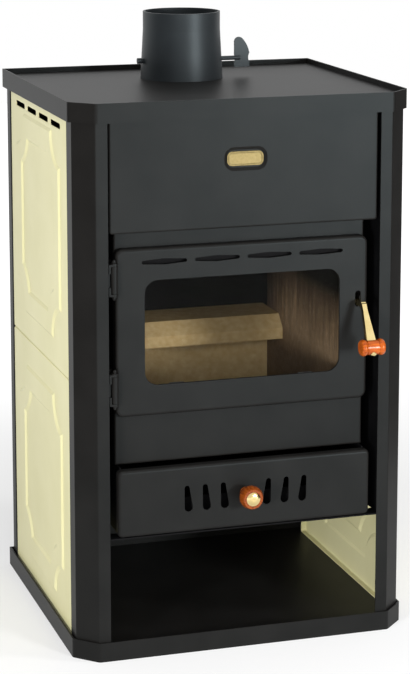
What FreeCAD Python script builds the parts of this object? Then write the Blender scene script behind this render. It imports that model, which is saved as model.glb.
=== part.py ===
"""A free-standing wood stove: sheet-metal body with enamelled side tiles, a
brick-lined firebox behind a glazed door, an ash drawer over an open wood store,
and a flue spigot with a damper.  Millimetres; X to the right, Y to the back,
Z up; the origin lies on the floor under the middle of the body."""
import FreeCAD
import Part

import math
import os
from types import SimpleNamespace

import Sketcher

SIZES = {
    # Trays at the top and the bottom
    "tray_width": 520.0,
    "tray_depth": 466.0,
    "body_height": 828.0,
    "tray_rim": 29.0,
    "tray_sink": 14.0,
    "top_sink": 8.0,
    "tray_sheet": 2.5,
    "tray_plate": 3.0,
    "tray_chamfer": 33.0,
    "tray_bend": 8.0,
    # Corner posts of folded sheet
    "post_inset": 5.5,
    "post_sheet": 1.5,
    "post_chamfer": 28.0,
    "post_front_flange": 18.0,
    "post_side_flange": 32.0,
    "post_lip": 12.0,
    "post_bend": 3.0,
    "rear_post_side": 25.0,
    "rear_post_back": 30.0,
    # Pressed side tiles
    "tile_split_drop": 3.0,
    "tile_joint": 0.3,
    "tile_setback": 1.0,
    "tile_gap": 0.4,
    "tile_top_gap": 3.0,
    "tile_depth": 10.0,
    "tile_sheet": 1.2,
    "tile_corner": 4.0,
    "tile_edge": 3.0,
    "band_margin_side": 44.1,
    "band_margin_top": 44.0,
    "band_scoop": 50.0,
    "band_border_side": 38.0,
    "band_border_top": 36.0,
    "band_inner_scoop": 40.0,
    "band_inner_bow": 62.0,
    "band_rise": 2.6,
    "band_slope": 4.5,
    "tile_slot_height": 8.6,
    "tile_slot_drop": 31.5,
    # Upper front panel and its bare badge
    "panel_gap": 3.0,
    "panel_setback": 5.0,
    "panel_drop": 191.0,
    "panel_depth": 11.0,
    "panel_sheet": 1.5,
    "panel_corner": 4.0,
    "panel_edge": 3.0,
    "badge_drop": 90.0,
    "recess_width": 66.0,
    "recess_tall": 35.0,
    "recess_depth": 4.0,
    "recess_slope": 4.5,
    "recess_corner": 15.0,
    "badge_width": 56.0,
    "badge_tall": 21.5,
    "badge_thick": 1.4,
    "badge_corner": 8.0,
    # Rear panel, side shields and cross rails
    "rear_sheet": 1.2,
    "rear_gap": 0.6,
    "rear_slot_length": 60.0,
    "rear_slot_height": 8.0,
    "rear_slot_pitch": 84.0,
    "rear_slot_margin": 34.0,
    "shield_sheet": 1.2,
    "shield_offset": 3.0,
    "rail_width": 26.0,
    "rail_height": 10.0,
    "rail_sheet": 2.0,
    "rail_end": 4.0,
    # Ash chamber and the runners of its drawer
    "chamber_drop": 0.5,
    "chamber_inset": 3.5,
    "chamber_sheet": 1.5,
    "chamber_front_gap": 0.5,
    "runner_width": 14.0,
    "runner_height": 2.0,
    "runner_inset": 40.0,
    # Firebox of welded plate
    "fire_drop": 75.0,
    "fire_gap": 15.0,
    "fire_back_gap": 38.8,
    "fire_wall": 4.0,
    "roof_gap": 17.0,
    "opening_margin": 33.5,
    "opening_sill": 24.0,
    "opening_head": 18.5,
    "opening_corner": 16.0,
    "plate_edge": 3.0,
    "grate_width": 214.0,
    "grate_length": 254.0,
    "grate_thick": 14.0,
    "grate_corner": 10.0,
    "grate_seat": 9.0,
    "grate_bar": 11.0,
    "grate_slot": 9.0,
    "grate_border": 18.0,
    # Brick lining, ledge and baffle
    "brick_thick": 25.0,
    "brick_tall": 348.0,
    "brick_gap": 0.3,
    "latch_room": 17.0,
    "ledge_rise": 97.0,
    "ledge_thick": 38.0,
    "ledge_depth": 78.0,
    "ledge_bevel": 20.0,
    "ledge_foot": 9.0,
    "ledge_foot_length": 48.0,
    "ledge_foot_sheet": 3.0,
    "ledge_foot_drop": 6.0,
    "baffle_thick": 6.0,
    "baffle_front_gap": 85.0,
    # Flue spigot and damper
    "flue_from_back": 85.0,
    "flue_foot_radius": 65.0,
    "flue_seat_radius": 60.75,
    "flue_seat_length": 28.0,
    "flue_rise": 97.0,
    "flue_wall": 3.5,
    "flue_fit": 0.3,
    "damper_rise": 28.0,
    "damper_rod_radius": 3.5,
    "damper_rod_clear": 0.4,
    "damper_head_radius": 4.5,
    "damper_head_length": 6.5,
    "damper_head_gap": 0.8,
    "damper_flap_radius": 56.0,
    "damper_flap_thick": 2.0,
    "damper_reach": 88.0,
    "damper_tang": 9.0,
    "leaf_thick": 3.0,
    "leaf_top": 31.5,
    "leaf_foot": 14.5,
    "leaf_left": 0.5,
    "leaf_right": 25.0,
    "leaf_crown": 12.5,
    # Door
    "door_setback": 14.0,
    "door_depth": 14.0,
    "door_gap": 0.5,
    "door_side_gap": 13.5,
    "door_tall": 249.5,
    "door_top_gap": 24.5,
    "door_corner": 12.0,
    "door_edge": 5.0,
    "door_sheet": 3.5,
    "window_margin": 44.25,
    "window_sill": 45.5,
    "window_head": 47.5,
    "window_corner": 20.0,
    "vent_drop": 20.7,
    "vent_end": 2.6,
    "vent_middle": 4.6,
    "glass_lap": 6.5,
    "glass_thick": 4.0,
    "glass_corner": 10.0,
    "gasket_thick": 1.5,
    "gasket_lap": 1.0,
    "clip_width": 22.0,
    "clip_sheet": 1.5,
    "clip_lap": 6.0,
    "clip_foot": 8.0,
    "clip_clear": 0.4,
    "clip_inset": 57.25,
    "seal_lap_side": 6.8,
    "seal_lap_tall": 8.0,
    "seal_gap": 0.4,
    "seal_corner": 9.0,
    "deflector_drop": 8.3,
    "deflector_gap": 0.5,
    "deflector_depth": 7.0,
    "deflector_sheet": 1.2,
    # Hinges
    "hinge_left": 3.0,
    "hinge_proud": 5.5,
    "hinge_drop": 42.5,
    "hinge_rise": 44.5,
    "hinge_radius": 5.3,
    "hinge_pin_radius": 3.0,
    "hinge_pin_clear": 0.05,
    "knuckle_length": 40.0,
    "knuckle_gap": 0.4,
    "knuckle_web": 6.0,
    "knuckle_reach": 16.0,
    "lug_thick": 3.0,
    "bracket_sheet": 3.0,
    "bracket_clear": 0.5,
    "bracket_foot": 10.0,
    "bracket_foot_back": 7.0,
    "finial_disc": 5.6,
    "finial_neck": 2.6,
    "finial_ball": 3.9,
    "finial_height": 6.5,
    # Door handle
    "handle_inset": 15.0,
    "pivot_drop": 100.5,
    "pivot_depth": 5.5,
    "pivot_pin_radius": 2.5,
    "pivot_clear": 0.05,
    "cheek_sheet": 2.5,
    "cheek_height": 18.0,
    "cheek_gap": 0.4,
    "cheek_back": 1.2,
    "lever_thin": 7.0,
    "lever_wide": 13.5,
    "lever_half": 4.0,
    "lever_tail": 18.5,
    "lever_elbow": 22.0,
    "lever_bend": 12.0,
    "lever_arm": 67.0,
    "lever_stud": 3.0,
    "lever_slot_half": 4.6,
    "lever_slot_up": 17.0,
    "lever_slot_down": 7.5,
    "keeper_slot_half": 5.5,
    "keeper_slot_up": 7.0,
    "keeper_slot_down": 14.0,
    "keeper_thick": 3.0,
    "keeper_border": 4.0,
    "grip_length": 36.0,
    "grip_end": 10.2,
    "grip_groove": 10.2,
    "grip_bulge_bow": 5.6,
    "grip_groove_place": 8.2,
    "grip_groove_width": 1.0,
    "grip_waist": 11.0,
    "grip_bore_clear": 0.06,
    "grip_nut_radius": 5.2,
    "grip_nut_height": 4.6,
    "grip_nut_bow": 6.4,
    "grip_flat": 2.0,
    # Ash drawer
    "drawer_tall": 101.0,
    "drawer_top_gap": 2.0,
    "drawer_side_gap": 12.5,
    "drawer_depth": 13.5,
    "drawer_sheet": 1.5,
    "drawer_corner": 7.0,
    "drawer_edge": 5.0,
    "air_lean": 1.3,
    "air_top_radius": 3.9,
    "air_foot_radius": 6.3,
    "air_rise_top": 67.0,
    "air_rise_foot": 37.5,
    "box_gap": 14.0,
    "box_back_gap": 46.0,
    "box_low_gap": 0.3,
    "box_rise": 77.0,
    "box_sheet": 1.2,
    "box_dam_back": 21.0,
    "box_dam_rise": 47.0,
    "box_nose_clear": 0.5,
    # Air register moved by the knob
    "register_margin": 15.7,
    "register_sill": 21.0,
    "register_rise": 82.0,
    "register_sheet": 1.5,
    "register_clear": 0.3,
    "register_slot_extra": 0.4,
    "register_travel": 14.0,
    "guide_end": 20.0,
    "guide_lip": 4.0,
    "guide_height": 8.0,
    "guide_sheet": 1.2,
    "knob_rise": 52.0,
    "knob_gap": 0.3,
    "knob_length": 35.0,
    "knob_base": 9.5,
    "knob_neck": 8.0,
    "knob_neck_place": 7.0,
    "knob_front": 14.5,
    "knob_bow": 20.5,
    "knob_seat": 10.6,
    "knob_seat_depth": 2.0,
    "bolt_radius": 3.0,
    "bolt_clear": 0.06,
    "bolt_slot_clear": 0.8,
    "bolt_head": 10.4,
    "bolt_head_rise": 2.2,
    "bolt_head_bow": 15.0,
    "bolt_tail": 3.0,
    # Runs past a face, so that a cut is clean
    "overrun": 4.0,
}

# The lower arm of the door lever leans this far from upright, in degrees
LEVER_LEAN = 32.6
# Fold lines at 45 degrees keep the sheet thickness with these shares of it
FOLD_SHARE = math.tan(math.pi / 8)
# A domed end keeps this share of its radius as a flat crown
DOME_SHARE = 0.15
CHAMFER_SHARE = 2 - math.sqrt(2)
# Slots of the upper tiles, as shares of the tile's width
TILE_SLOT_PITCH_SHARE = 0.2086
TILE_SLOT_LENGTH_SHARE = 0.168
# Slots of the door, as shares of half the window's width
VENT_PITCH_SHARE = 0.534
VENT_LENGTH_SHARE = 0.461
# A vent's round end is this much larger than half its height
VENT_ROUND_SHARE = 1.02
# The rope's corners are rounded by this share of its radius
ROPE_ROUND_SHARE = 0.94
# Slots of the ash drawer, as shares of half its width
AIR_NEAR_SHARE = 0.17347
AIR_PITCH_SHARE = 1 / 7
# Outline of the damper's leaf, as shares of its own sizes
LEAF_BACK_SHARE = 1.4
LEAF_CROWN_SHARE = 0.62
LEAF_SHOULDER_SHARE = 0.56
LEAF_NOTCH_SHARE = 1 / 3
# Heights of the disc and of the neck in a turned pin end
DISC_SHARE = 0.2
NECK_SHARE = 0.4

doc = FreeCAD.newDocument("wood_stove")
sheet = doc.addObject("Spreadsheet::Sheet", "Sizes")
for row, (name, size) in enumerate(SIZES.items(), start=1):
    sheet.set(f"A{row}", name)
    sheet.set(f"B{row}", str(size))
    sheet.setAlias(f"B{row}", name)
doc.recompute()


class Length:
    """A size in millimetres, kept with the spreadsheet formula that gives it."""

    def __init__(self, value, formula):
        self.value = value
        self.formula = formula

    def __add__(self, other):
        other = as_length(other)
        return Length(self.value + other.value, f"({self.formula} + {other.formula})")

    def __sub__(self, other):
        other = as_length(other)
        return Length(self.value - other.value, f"({self.formula} - {other.formula})")

    def __mul__(self, share):
        return Length(self.value * share, f"({self.formula} * {share!r})")

    def __truediv__(self, share):
        return Length(self.value / share, f"({self.formula} / {share!r})")

    def __neg__(self):
        return Length(-self.value, f"(0 - {self.formula})")


def as_length(number):
    if isinstance(number, Length):
        return number
    return Length(float(number), repr(float(number)))


ZERO = as_length(0)
S = SimpleNamespace(**{name: Length(size, f"Sizes.{name}") for name, size in SIZES.items()})


def bind(item, prop, length):
    """Tie a property of an object to the spreadsheet."""
    item.setExpression(prop, as_length(length).formula)


# Sketches: a loop is a list of corners (u, v), and a corner that carries a
# radius and a turn starts an arc to the next corner, bulging right (1) or left (-1)
def rectangle(u_low, u_high, v_low, v_high):
    return [(u_low, v_low), (u_high, v_low), (u_high, v_high), (u_low, v_high)]


def rounded_rectangle(u_low, u_high, v_low, v_high, radius):
    return [
        (u_low + radius, v_low),
        (u_high - radius, v_low, radius, 1),
        (u_high, v_low + radius),
        (u_high, v_high - radius, radius, 1),
        (u_high - radius, v_high),
        (u_low + radius, v_high, radius, 1),
        (u_low, v_high - radius),
        (u_low, v_low + radius, radius, 1),
    ]


def capsule(u_first, v_first, r_first, u_second, v_second, r_second):
    return ("capsule", u_first, v_first, r_first, u_second, v_second, r_second)


def circle(u, v, radius):
    return ("circle", u, v, radius)


def fix_point(sketch, geometry, point, u, v):
    """Hold a point of the sketch at two bound coordinates."""
    if u is ZERO and v is ZERO:
        sketch.addConstraint(Sketcher.Constraint("Coincident", geometry, point, -1, 1))
        return
    for kind, axis, place in (("DistanceX", -2, u), ("DistanceY", -1, v)):
        if place is ZERO:
            sketch.addConstraint(Sketcher.Constraint("PointOnObject", geometry, point, axis))
            continue
        index = sketch.addConstraint(
            Sketcher.Constraint(kind, -1, 1, geometry, point, place.value))
        bind(sketch, f"Constraints[{index}]", place)


def fix_radius(sketch, geometry, radius):
    index = sketch.addConstraint(Sketcher.Constraint("Radius", geometry, radius.value))
    bind(sketch, f"Constraints[{index}]", radius)


def arc_between(start, end, radius, turn):
    """The short arc from one point to another, and the number of its first end."""
    chord = end - start
    half = chord.Length / 2
    across = FreeCAD.Vector(chord.y, -chord.x, 0).normalize() * turn
    centre = start + chord * (1 / 2) - across * math.sqrt(max(radius ** 2 - half ** 2, 0))
    first, last = (start, end) if turn > 0 else (end, start)
    angle_first = math.atan2(first.y - centre.y, first.x - centre.x)
    angle_last = math.atan2(last.y - centre.y, last.x - centre.x)
    if angle_last < angle_first:
        angle_last += 2 * math.pi
    ring = Part.Circle(centre, FreeCAD.Vector(0, 0, 1), radius)
    return Part.ArcOfCircle(ring, angle_first, angle_last), (1 if turn > 0 else 2)


def draw_circle(sketch, loop):
    kind, u, v, radius = loop
    ring = Part.Circle(FreeCAD.Vector(u.value, v.value, 0), FreeCAD.Vector(0, 0, 1), radius.value)
    geometry = sketch.addGeometry(ring, False)
    fix_radius(sketch, geometry, radius)
    fix_point(sketch, geometry, 3, u, v)


def draw_capsule(sketch, loop):
    kind, u_first, v_first, r_first, u_second, v_second, r_second = loop
    one = FreeCAD.Vector(u_first.value, v_first.value, 0)
    two = FreeCAD.Vector(u_second.value, v_second.value, 0)
    along = math.atan2(two.y - one.y, two.x - one.x)
    flare = math.acos((r_first.value - r_second.value) / (two - one).Length)
    up = FreeCAD.Vector(0, 0, 1)
    left = Part.ArcOfCircle(
        Part.Circle(one, up, r_first.value), along + flare, along + 2 * math.pi - flare)
    right = Part.ArcOfCircle(
        Part.Circle(two, up, r_second.value), along - flare, along + flare)
    first = sketch.addGeometry(left, False)
    second = sketch.addGeometry(right, False)
    lower = sketch.addGeometry(Part.LineSegment(left.EndPoint, right.StartPoint), False)
    upper = sketch.addGeometry(Part.LineSegment(right.EndPoint, left.StartPoint), False)
    for a, a_end, b, b_end in ((first, 2, lower, 1), (lower, 2, second, 1),
                               (second, 2, upper, 1), (upper, 2, first, 1)):
        sketch.addConstraint(Sketcher.Constraint("Tangent", a, a_end, b, b_end))
    fix_radius(sketch, first, r_first)
    fix_radius(sketch, second, r_second)
    fix_point(sketch, first, 3, u_first, v_first)
    fix_point(sketch, second, 3, u_second, v_second)


def draw_loop(sketch, loop):
    if loop[0] == "circle":
        draw_circle(sketch, loop)
        return
    if loop[0] == "capsule":
        draw_capsule(sketch, loop)
        return
    corners = [tuple(as_length(c) if k < 3 else c for k, c in enumerate(p)) for p in loop]
    places = [FreeCAD.Vector(p[0].value, p[1].value, 0) for p in corners]
    drawn = []
    for k, corner in enumerate(corners):
        start, end = places[k], places[(k + 1) % len(places)]
        if len(corner) > 2:
            piece, first_end = arc_between(start, end, corner[2].value, corner[3])
        else:
            piece, first_end = Part.LineSegment(start, end), 1
        drawn.append((sketch.addGeometry(piece, False), first_end))
    for k, (geometry, first_end) in enumerate(drawn):
        following, following_end = drawn[(k + 1) % len(drawn)]
        sketch.addConstraint(Sketcher.Constraint(
            "Coincident", geometry, 3 - first_end, following, following_end))
    for corner, (geometry, first_end) in zip(corners, drawn):
        fix_point(sketch, geometry, first_end, zero_or(corner[0]), zero_or(corner[1]))
        if len(corner) > 2:
            fix_radius(sketch, geometry, corner[2])


def zero_or(length):
    return ZERO if length.formula == ZERO.formula else length


# Bodies
def new_body(name):
    return doc.addObject("PartDesign::Body", name)


def add_sketch(body, plane, level, loops):
    """A sketch on one of the body's own planes, moved to a level along its axis."""
    support = next(f for f in body.Origin.OriginFeatures if f.Role == f"{plane}_Plane")
    sketch = body.newObject("Sketcher::SketchObject", f"{body.Name}_sketch")
    sketch.AttachmentSupport = [(support, "")]
    sketch.MapMode = "FlatFace"
    bind(sketch, "AttachmentOffset.Base.z", -level if plane == "XZ" else level)
    for loop in loops:
        draw_loop(sketch, loop)
    return sketch


def add_pad(body, plane, low, high, loops):
    """Sheet or bar stock between two levels along the axis across the plane."""
    level = high if plane == "XZ" else low
    sketch = add_sketch(body, plane, as_length(level), loops)
    pad = body.newObject("PartDesign::Pad", f"{body.Name}_pad")
    pad.Profile = sketch
    bind(pad, "Length", as_length(high) - as_length(low))
    doc.recompute()
    return pad


def prism(name, plane, low, high, *loops):
    body = new_body(name)
    add_pad(body, plane, low, high, loops)
    return body


def edges_along(axis, test=None):
    """Picks straight edges that run along an axis."""
    way = {"X": FreeCAD.Vector(1, 0, 0), "Y": FreeCAD.Vector(0, 1, 0), "Z": FreeCAD.Vector(0, 0, 1)}[axis]

    def pick(edge):
        if edge.Curve.TypeId != "Part::GeomLine":
            return False
        ends = edge.Vertexes[1].Point - edge.Vertexes[0].Point
        if abs(ends.normalize().dot(way)) < 1 - 1e-6:
            return False
        return test is None or test(edge.CenterOfMass)
    return pick


def edges_at(axis, level):
    """Picks the edges that lie in the plane across an axis at a level."""
    def pick(edge):
        box = edge.BoundBox
        low = getattr(box, f"{axis}Min")
        high = getattr(box, f"{axis}Max")
        return abs(low - level.value) < 1e-4 and abs(high - level.value) < 1e-4
    return pick


def round_body(body, radius, pick):
    base = body.Tip
    names = [f"Edge{k}" for k, edge in enumerate(base.Shape.Edges, start=1) if pick(edge)]
    fillet = body.newObject("PartDesign::Fillet", f"{body.Name}_fillet")
    fillet.Base = (base, names)
    bind(fillet, "Radius", radius)
    body.Tip = fillet
    doc.recompute()
    return body


def block(name, low, high):
    """A box between two opposite corners."""
    box = doc.addObject("Part::Box", name)
    low = [as_length(c) for c in low]
    high = [as_length(c) for c in high]
    for prop, a, b in zip(("Length", "Width", "Height"), low, high):
        bind(box, prop, b - a)
    for axis, a in zip("xyz", low):
        bind(box, f".Placement.Base.{axis}", a)
    doc.recompute()
    return box


def place(item, centre, way):
    """Turn the Z axis of a piece to a direction and put its foot at a point."""
    item.Placement = FreeCAD.Placement(
        FreeCAD.Vector(0, 0, 0), FreeCAD.Rotation(FreeCAD.Vector(0, 0, 1), FreeCAD.Vector(*way)))
    for axis, length in zip("xyz", centre):
        bind(item, f".Placement.Base.{axis}", length)
    doc.recompute()
    return item


def rod(name, foot, way, radius, length):
    bar = doc.addObject("Part::Cylinder", name)
    bind(bar, "Radius", radius)
    bind(bar, "Height", length)
    return place(bar, foot, way)


def turned(name, centre, way, outline):
    """A lathe form: the outline is (radius, height) about the axis."""
    body = new_body(name)
    sketch = add_sketch(body, "XZ", ZERO, [outline])
    spin = body.newObject("PartDesign::Revolution", f"{name}_turn")
    spin.Profile = sketch
    spin.ReferenceAxis = (sketch, ["V_Axis"])
    spin.Angle = 360
    doc.recompute()
    return place(body, centre, way)


def join(name, *pieces):
    fused = doc.addObject("Part::MultiFuse", name)
    fused.Shapes = list(pieces)
    fused.Refine = True
    doc.recompute()
    return fused


def cut(name, base, *tools):
    tool = tools[0] if len(tools) == 1 else join(f"{name}_tools", *tools)
    taken = doc.addObject("Part::Cut", name)
    taken.Base = base
    taken.Tool = tool
    taken.Refine = True
    doc.recompute()
    return taken


def common(name, first, second):
    shared = doc.addObject("Part::Common", name)
    shared.Base = first
    shared.Tool = second
    doc.recompute()
    return shared


def group(name, *pieces):
    """Separate like pieces that share one node."""
    gathered = doc.addObject("Part::Compound", name)
    gathered.Links = list(pieces)
    doc.recompute()
    return gathered


def solid(name, shape):
    item = doc.addObject("Part::Feature", name)
    item.Shape = shape
    return item


NODES = {}


def node(item, name=None):
    name = name or item.Name
    item.Label = name
    NODES[name] = item
    return item


# Planes that several pieces share
POST_X = S.tray_width / 2 - S.post_inset
POST_Y = S.tray_depth / 2 - S.post_inset
BASE_TOP = S.tray_rim - S.tray_sink
TOP_FACE = S.body_height - S.top_sink
TOP_UNDER = TOP_FACE - S.tray_plate
FLANGE_X = POST_X - S.post_chamfer - S.post_front_flange
FLANGE_BACK = -POST_Y + S.post_sheet
SIDE_FLANGE_END = -POST_Y + S.post_chamfer + S.post_side_flange
REAR_FLANGE_END = POST_Y - S.rear_post_side
REAR_FACE = POST_Y - S.post_sheet - S.rear_sheet
DOOR_FACE = -POST_Y + S.door_setback
DOOR_BACK = DOOR_FACE + S.door_sheet
PLATE_FACE = DOOR_FACE + S.door_depth + S.door_gap
PLATE_BACK = PLATE_FACE + S.fire_wall
FIRE_BACK = REAR_FACE - S.fire_back_gap
FIRE_X = FLANGE_X - S.fire_gap
FIRE_IN = FIRE_X - S.fire_wall
BACK_BRICK = FIRE_BACK - S.fire_wall - S.brick_thick
SIDE_BRICK = FIRE_IN - S.brick_thick
FLUE_Y = FIRE_BACK - S.flue_from_back
DOOR_X = FLANGE_X - S.door_side_gap
DRAWER_X = FLANGE_X - S.drawer_side_gap
HANDLE_X = DOOR_X - S.handle_inset
TILE_SPLIT = (BASE_TOP + TOP_UNDER) / 2 - S.tile_split_drop
PANEL_LOW = S.body_height - S.panel_drop
BADGE_Z = S.body_height - S.badge_drop
DOOR_HIGH = PANEL_LOW - S.door_top_gap
PIVOT_Z = DOOR_HIGH - S.pivot_drop
DOOR_LOW = DOOR_HIGH - S.door_tall
WINDOW_LOW = DOOR_LOW + S.window_sill
WINDOW_HIGH = DOOR_HIGH - S.window_head
VENT_Z = DOOR_HIGH - S.vent_drop
OPENING_LOW = DOOR_LOW + S.opening_sill
OPENING_HIGH = DOOR_HIGH - S.opening_head
HINGE_UPPER = DOOR_HIGH - S.hinge_drop
HINGE_LOWER = DOOR_LOW + S.hinge_rise
FIRE_LOW = DOOR_LOW - S.fire_drop
FLOOR_TOP = FIRE_LOW + S.fire_wall
DRAWER_HIGH = FIRE_LOW - S.drawer_top_gap
DRAWER_LOW = DRAWER_HIGH - S.drawer_tall
CHAMBER_LOW = DRAWER_LOW - S.chamber_drop
ROOF_LOW = TOP_UNDER - S.roof_gap
ROOF_TOP = ROOF_LOW + S.fire_wall
BRICK_TOP = FLOOR_TOP + S.brick_tall
LEDGE_LOW = FLOOR_TOP + S.ledge_rise
LEDGE_HIGH = LEDGE_LOW + S.ledge_thick
FLUE_TOP = S.body_height + S.flue_rise
KNOB_Z = DRAWER_LOW + S.knob_rise
AIR_HIGH = DRAWER_LOW + S.air_rise_top
AIR_LOW = DRAWER_LOW + S.air_rise_foot
BOX_HIGH = DRAWER_LOW + S.box_rise
BOX_DAM_HIGH = DRAWER_LOW + S.box_dam_rise
REGISTER_LOW = DRAWER_LOW + S.register_sill
REGISTER_HIGH = DRAWER_LOW + S.register_rise
DRAWER_IN = -POST_Y + S.drawer_sheet


# Base tray and top tray: a flat plate halfway up a rim of flat strip
def tray_outline(inset):
    half = S.tray_width / 2 - inset
    front = -(S.tray_depth / 2) + inset
    back = S.tray_depth / 2 - inset
    leg = S.tray_chamfer - as_length(inset) * CHAMFER_SHARE
    return [
        (-half, back), (-half, front + leg), (-half + leg, front),
        (half - leg, front), (half, front + leg), (half, back)]


def tray(name, low, plate_low, *holes):
    body = new_body(name)
    add_pad(body, "XY", low, low + S.tray_rim, [tray_outline(ZERO), tray_outline(S.tray_sheet)])
    inner = S.tray_width / 2 - S.tray_sheet
    outer_front = S.tray_depth / 2

    def on_outer_fold(point):
        at_front = abs(point.y + outer_front.value) < 1e-4
        at_side = abs(abs(point.x) - S.tray_width.value / 2) < 1e-4 and point.y < 0
        return at_front or at_side

    def on_inner_fold(point):
        at_front = abs(point.y + outer_front.value - S.tray_sheet.value) < 1e-4
        at_side = abs(abs(point.x) - inner.value) < 1e-4 and point.y < 0
        return at_front or at_side

    round_body(body, S.tray_bend, edges_along("Z", on_outer_fold))
    round_body(body, S.tray_bend - S.tray_sheet, edges_along("Z", on_inner_fold))
    add_pad(body, "XY", plate_low, plate_low + S.tray_plate,
            [tray_outline(S.tray_sheet / 2), *holes])
    return node(body)


tray("base_tray", ZERO, BASE_TOP - S.tray_plate)
tray("top_tray", S.body_height - S.tray_rim, TOP_UNDER,
     circle(ZERO, FLUE_Y, S.flue_foot_radius + S.flue_fit))


# Corner posts, folded from sheet, standing on the base plate under the top plate
def front_post(name, side):
    fold = S.post_sheet * FOLD_SHARE
    inside = POST_X - S.post_sheet
    front = -POST_Y
    corner = POST_X - S.post_chamfer
    outline = [
        (FLANGE_X, front), (corner, front), (POST_X, front + S.post_chamfer),
        (POST_X, SIDE_FLANGE_END), (POST_X - S.post_lip, SIDE_FLANGE_END),
        (POST_X - S.post_lip, SIDE_FLANGE_END - S.post_sheet),
        (inside, SIDE_FLANGE_END - S.post_sheet),
        (inside, front + S.post_chamfer + fold),
        (corner - fold, FLANGE_BACK), (FLANGE_X, FLANGE_BACK)]
    body = prism(name, "XY", BASE_TOP, TOP_UNDER, [(x * side, y) for x, y in outline])

    def on_fold(point):
        first = abs(abs(point.x) - corner.value) < 1e-4 and abs(point.y - front.value) < 1e-4
        return first or abs(abs(point.x) - POST_X.value) < 1e-4

    return node(round_body(body, S.post_bend, edges_along("Z", on_fold)))


def rear_post(name, side):
    inside = POST_X - S.post_sheet
    outline = [
        (POST_X, POST_Y), (POST_X, REAR_FLANGE_END), (POST_X - S.post_lip, REAR_FLANGE_END),
        (POST_X - S.post_lip, REAR_FLANGE_END + S.post_sheet),
        (inside, REAR_FLANGE_END + S.post_sheet), (inside, POST_Y - S.post_sheet),
        (POST_X - S.rear_post_back, POST_Y - S.post_sheet), (POST_X - S.rear_post_back, POST_Y)]
    body = prism(name, "XY", BASE_TOP, TOP_UNDER, [(x * side, y) for x, y in outline])

    def on_fold(point):
        return abs(abs(point.x) - POST_X.value) < 1e-4

    return node(round_body(body, S.post_bend, edges_along("Z", on_fold)))


front_post("front_left_post", -1)
front_post("front_right_post", 1)
rear_post("rear_left_post", -1)
rear_post("rear_right_post", 1)


# Side tiles: pressed pans with a raised band whose corners are scooped
TILE_FACE = POST_X - S.tile_setback
TILE_FRONT = SIDE_FLANGE_END + S.tile_gap
TILE_BACK = REAR_FLANGE_END - S.tile_gap
TILE_MIDDLE = (TILE_FRONT + TILE_BACK) / 2


def scooped_wire(x, middle, half_width, half_height, leg, bow):
    """A rectangle across X with hollow arcs in place of its corners."""
    y_mid, z_mid = middle
    corners = []
    for sign_y, sign_z in ((1, 1), (-1, 1), (-1, -1), (1, -1)):
        along_top = (y_mid + sign_y * (half_width - leg), z_mid + sign_z * half_height)
        along_side = (y_mid + sign_y * half_width, z_mid + sign_z * (half_height - leg))
        pair = (along_side, along_top) if sign_y * sign_z > 0 else (along_top, along_side)
        corners.append((pair, sign_y, sign_z))
    edges = []
    for k, ((first, second), sign_y, sign_z) in enumerate(corners):
        start = FreeCAD.Vector(x, *first)
        end = FreeCAD.Vector(x, *second)
        chord = end - start
        sagitta = bow - math.sqrt(bow ** 2 - (chord.Length / 2) ** 2)
        inward = FreeCAD.Vector(0, -sign_y, -sign_z).normalize()
        edges.append(Part.Arc(start, start + chord * (1 / 2) + inward * sagitta, end).toShape())
        following = FreeCAD.Vector(x, *corners[(k + 1) % len(corners)][0][0])
        edges.append(Part.LineSegment(end, following).toShape())
    return Part.Wire(edges)


def raised_band(name, side, z_middle, tall, sink):
    """The band as a ring that slopes up from the sheet on both of its edges."""
    foot = (TILE_FACE - sink - S.tile_sheet / 2).value * side
    crest = (TILE_FACE - sink + S.band_rise).value * side
    share = (S.band_rise + S.tile_sheet / 2).value / S.band_rise.value
    slope = S.band_slope.value * share
    middle = (TILE_MIDDLE.value, z_middle.value)
    half_w = (TILE_BACK - TILE_FRONT).value / 2 - S.band_margin_side.value
    half_h = tall.value / 2 - S.band_margin_top.value
    in_w = half_w - S.band_border_side.value
    in_h = half_h - S.band_border_top.value
    scoop = S.band_scoop.value
    in_scoop = S.band_inner_scoop.value
    in_bow = S.band_inner_bow.value
    outer = Part.makeLoft([
        scooped_wire(foot, middle, half_w + slope / 2, half_h + slope / 2, scoop, scoop),
        scooped_wire(crest, middle, half_w - slope / 2, half_h - slope / 2, scoop, scoop)], True, True)
    inner = Part.makeLoft([
        scooped_wire(foot, middle, in_w - slope / 2, in_h - slope / 2, in_scoop, in_bow),
        scooped_wire(crest, middle, in_w + slope / 2, in_h + slope / 2, in_scoop, in_bow)], True, True)
    return solid(name, outer.cut(inner))


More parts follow.
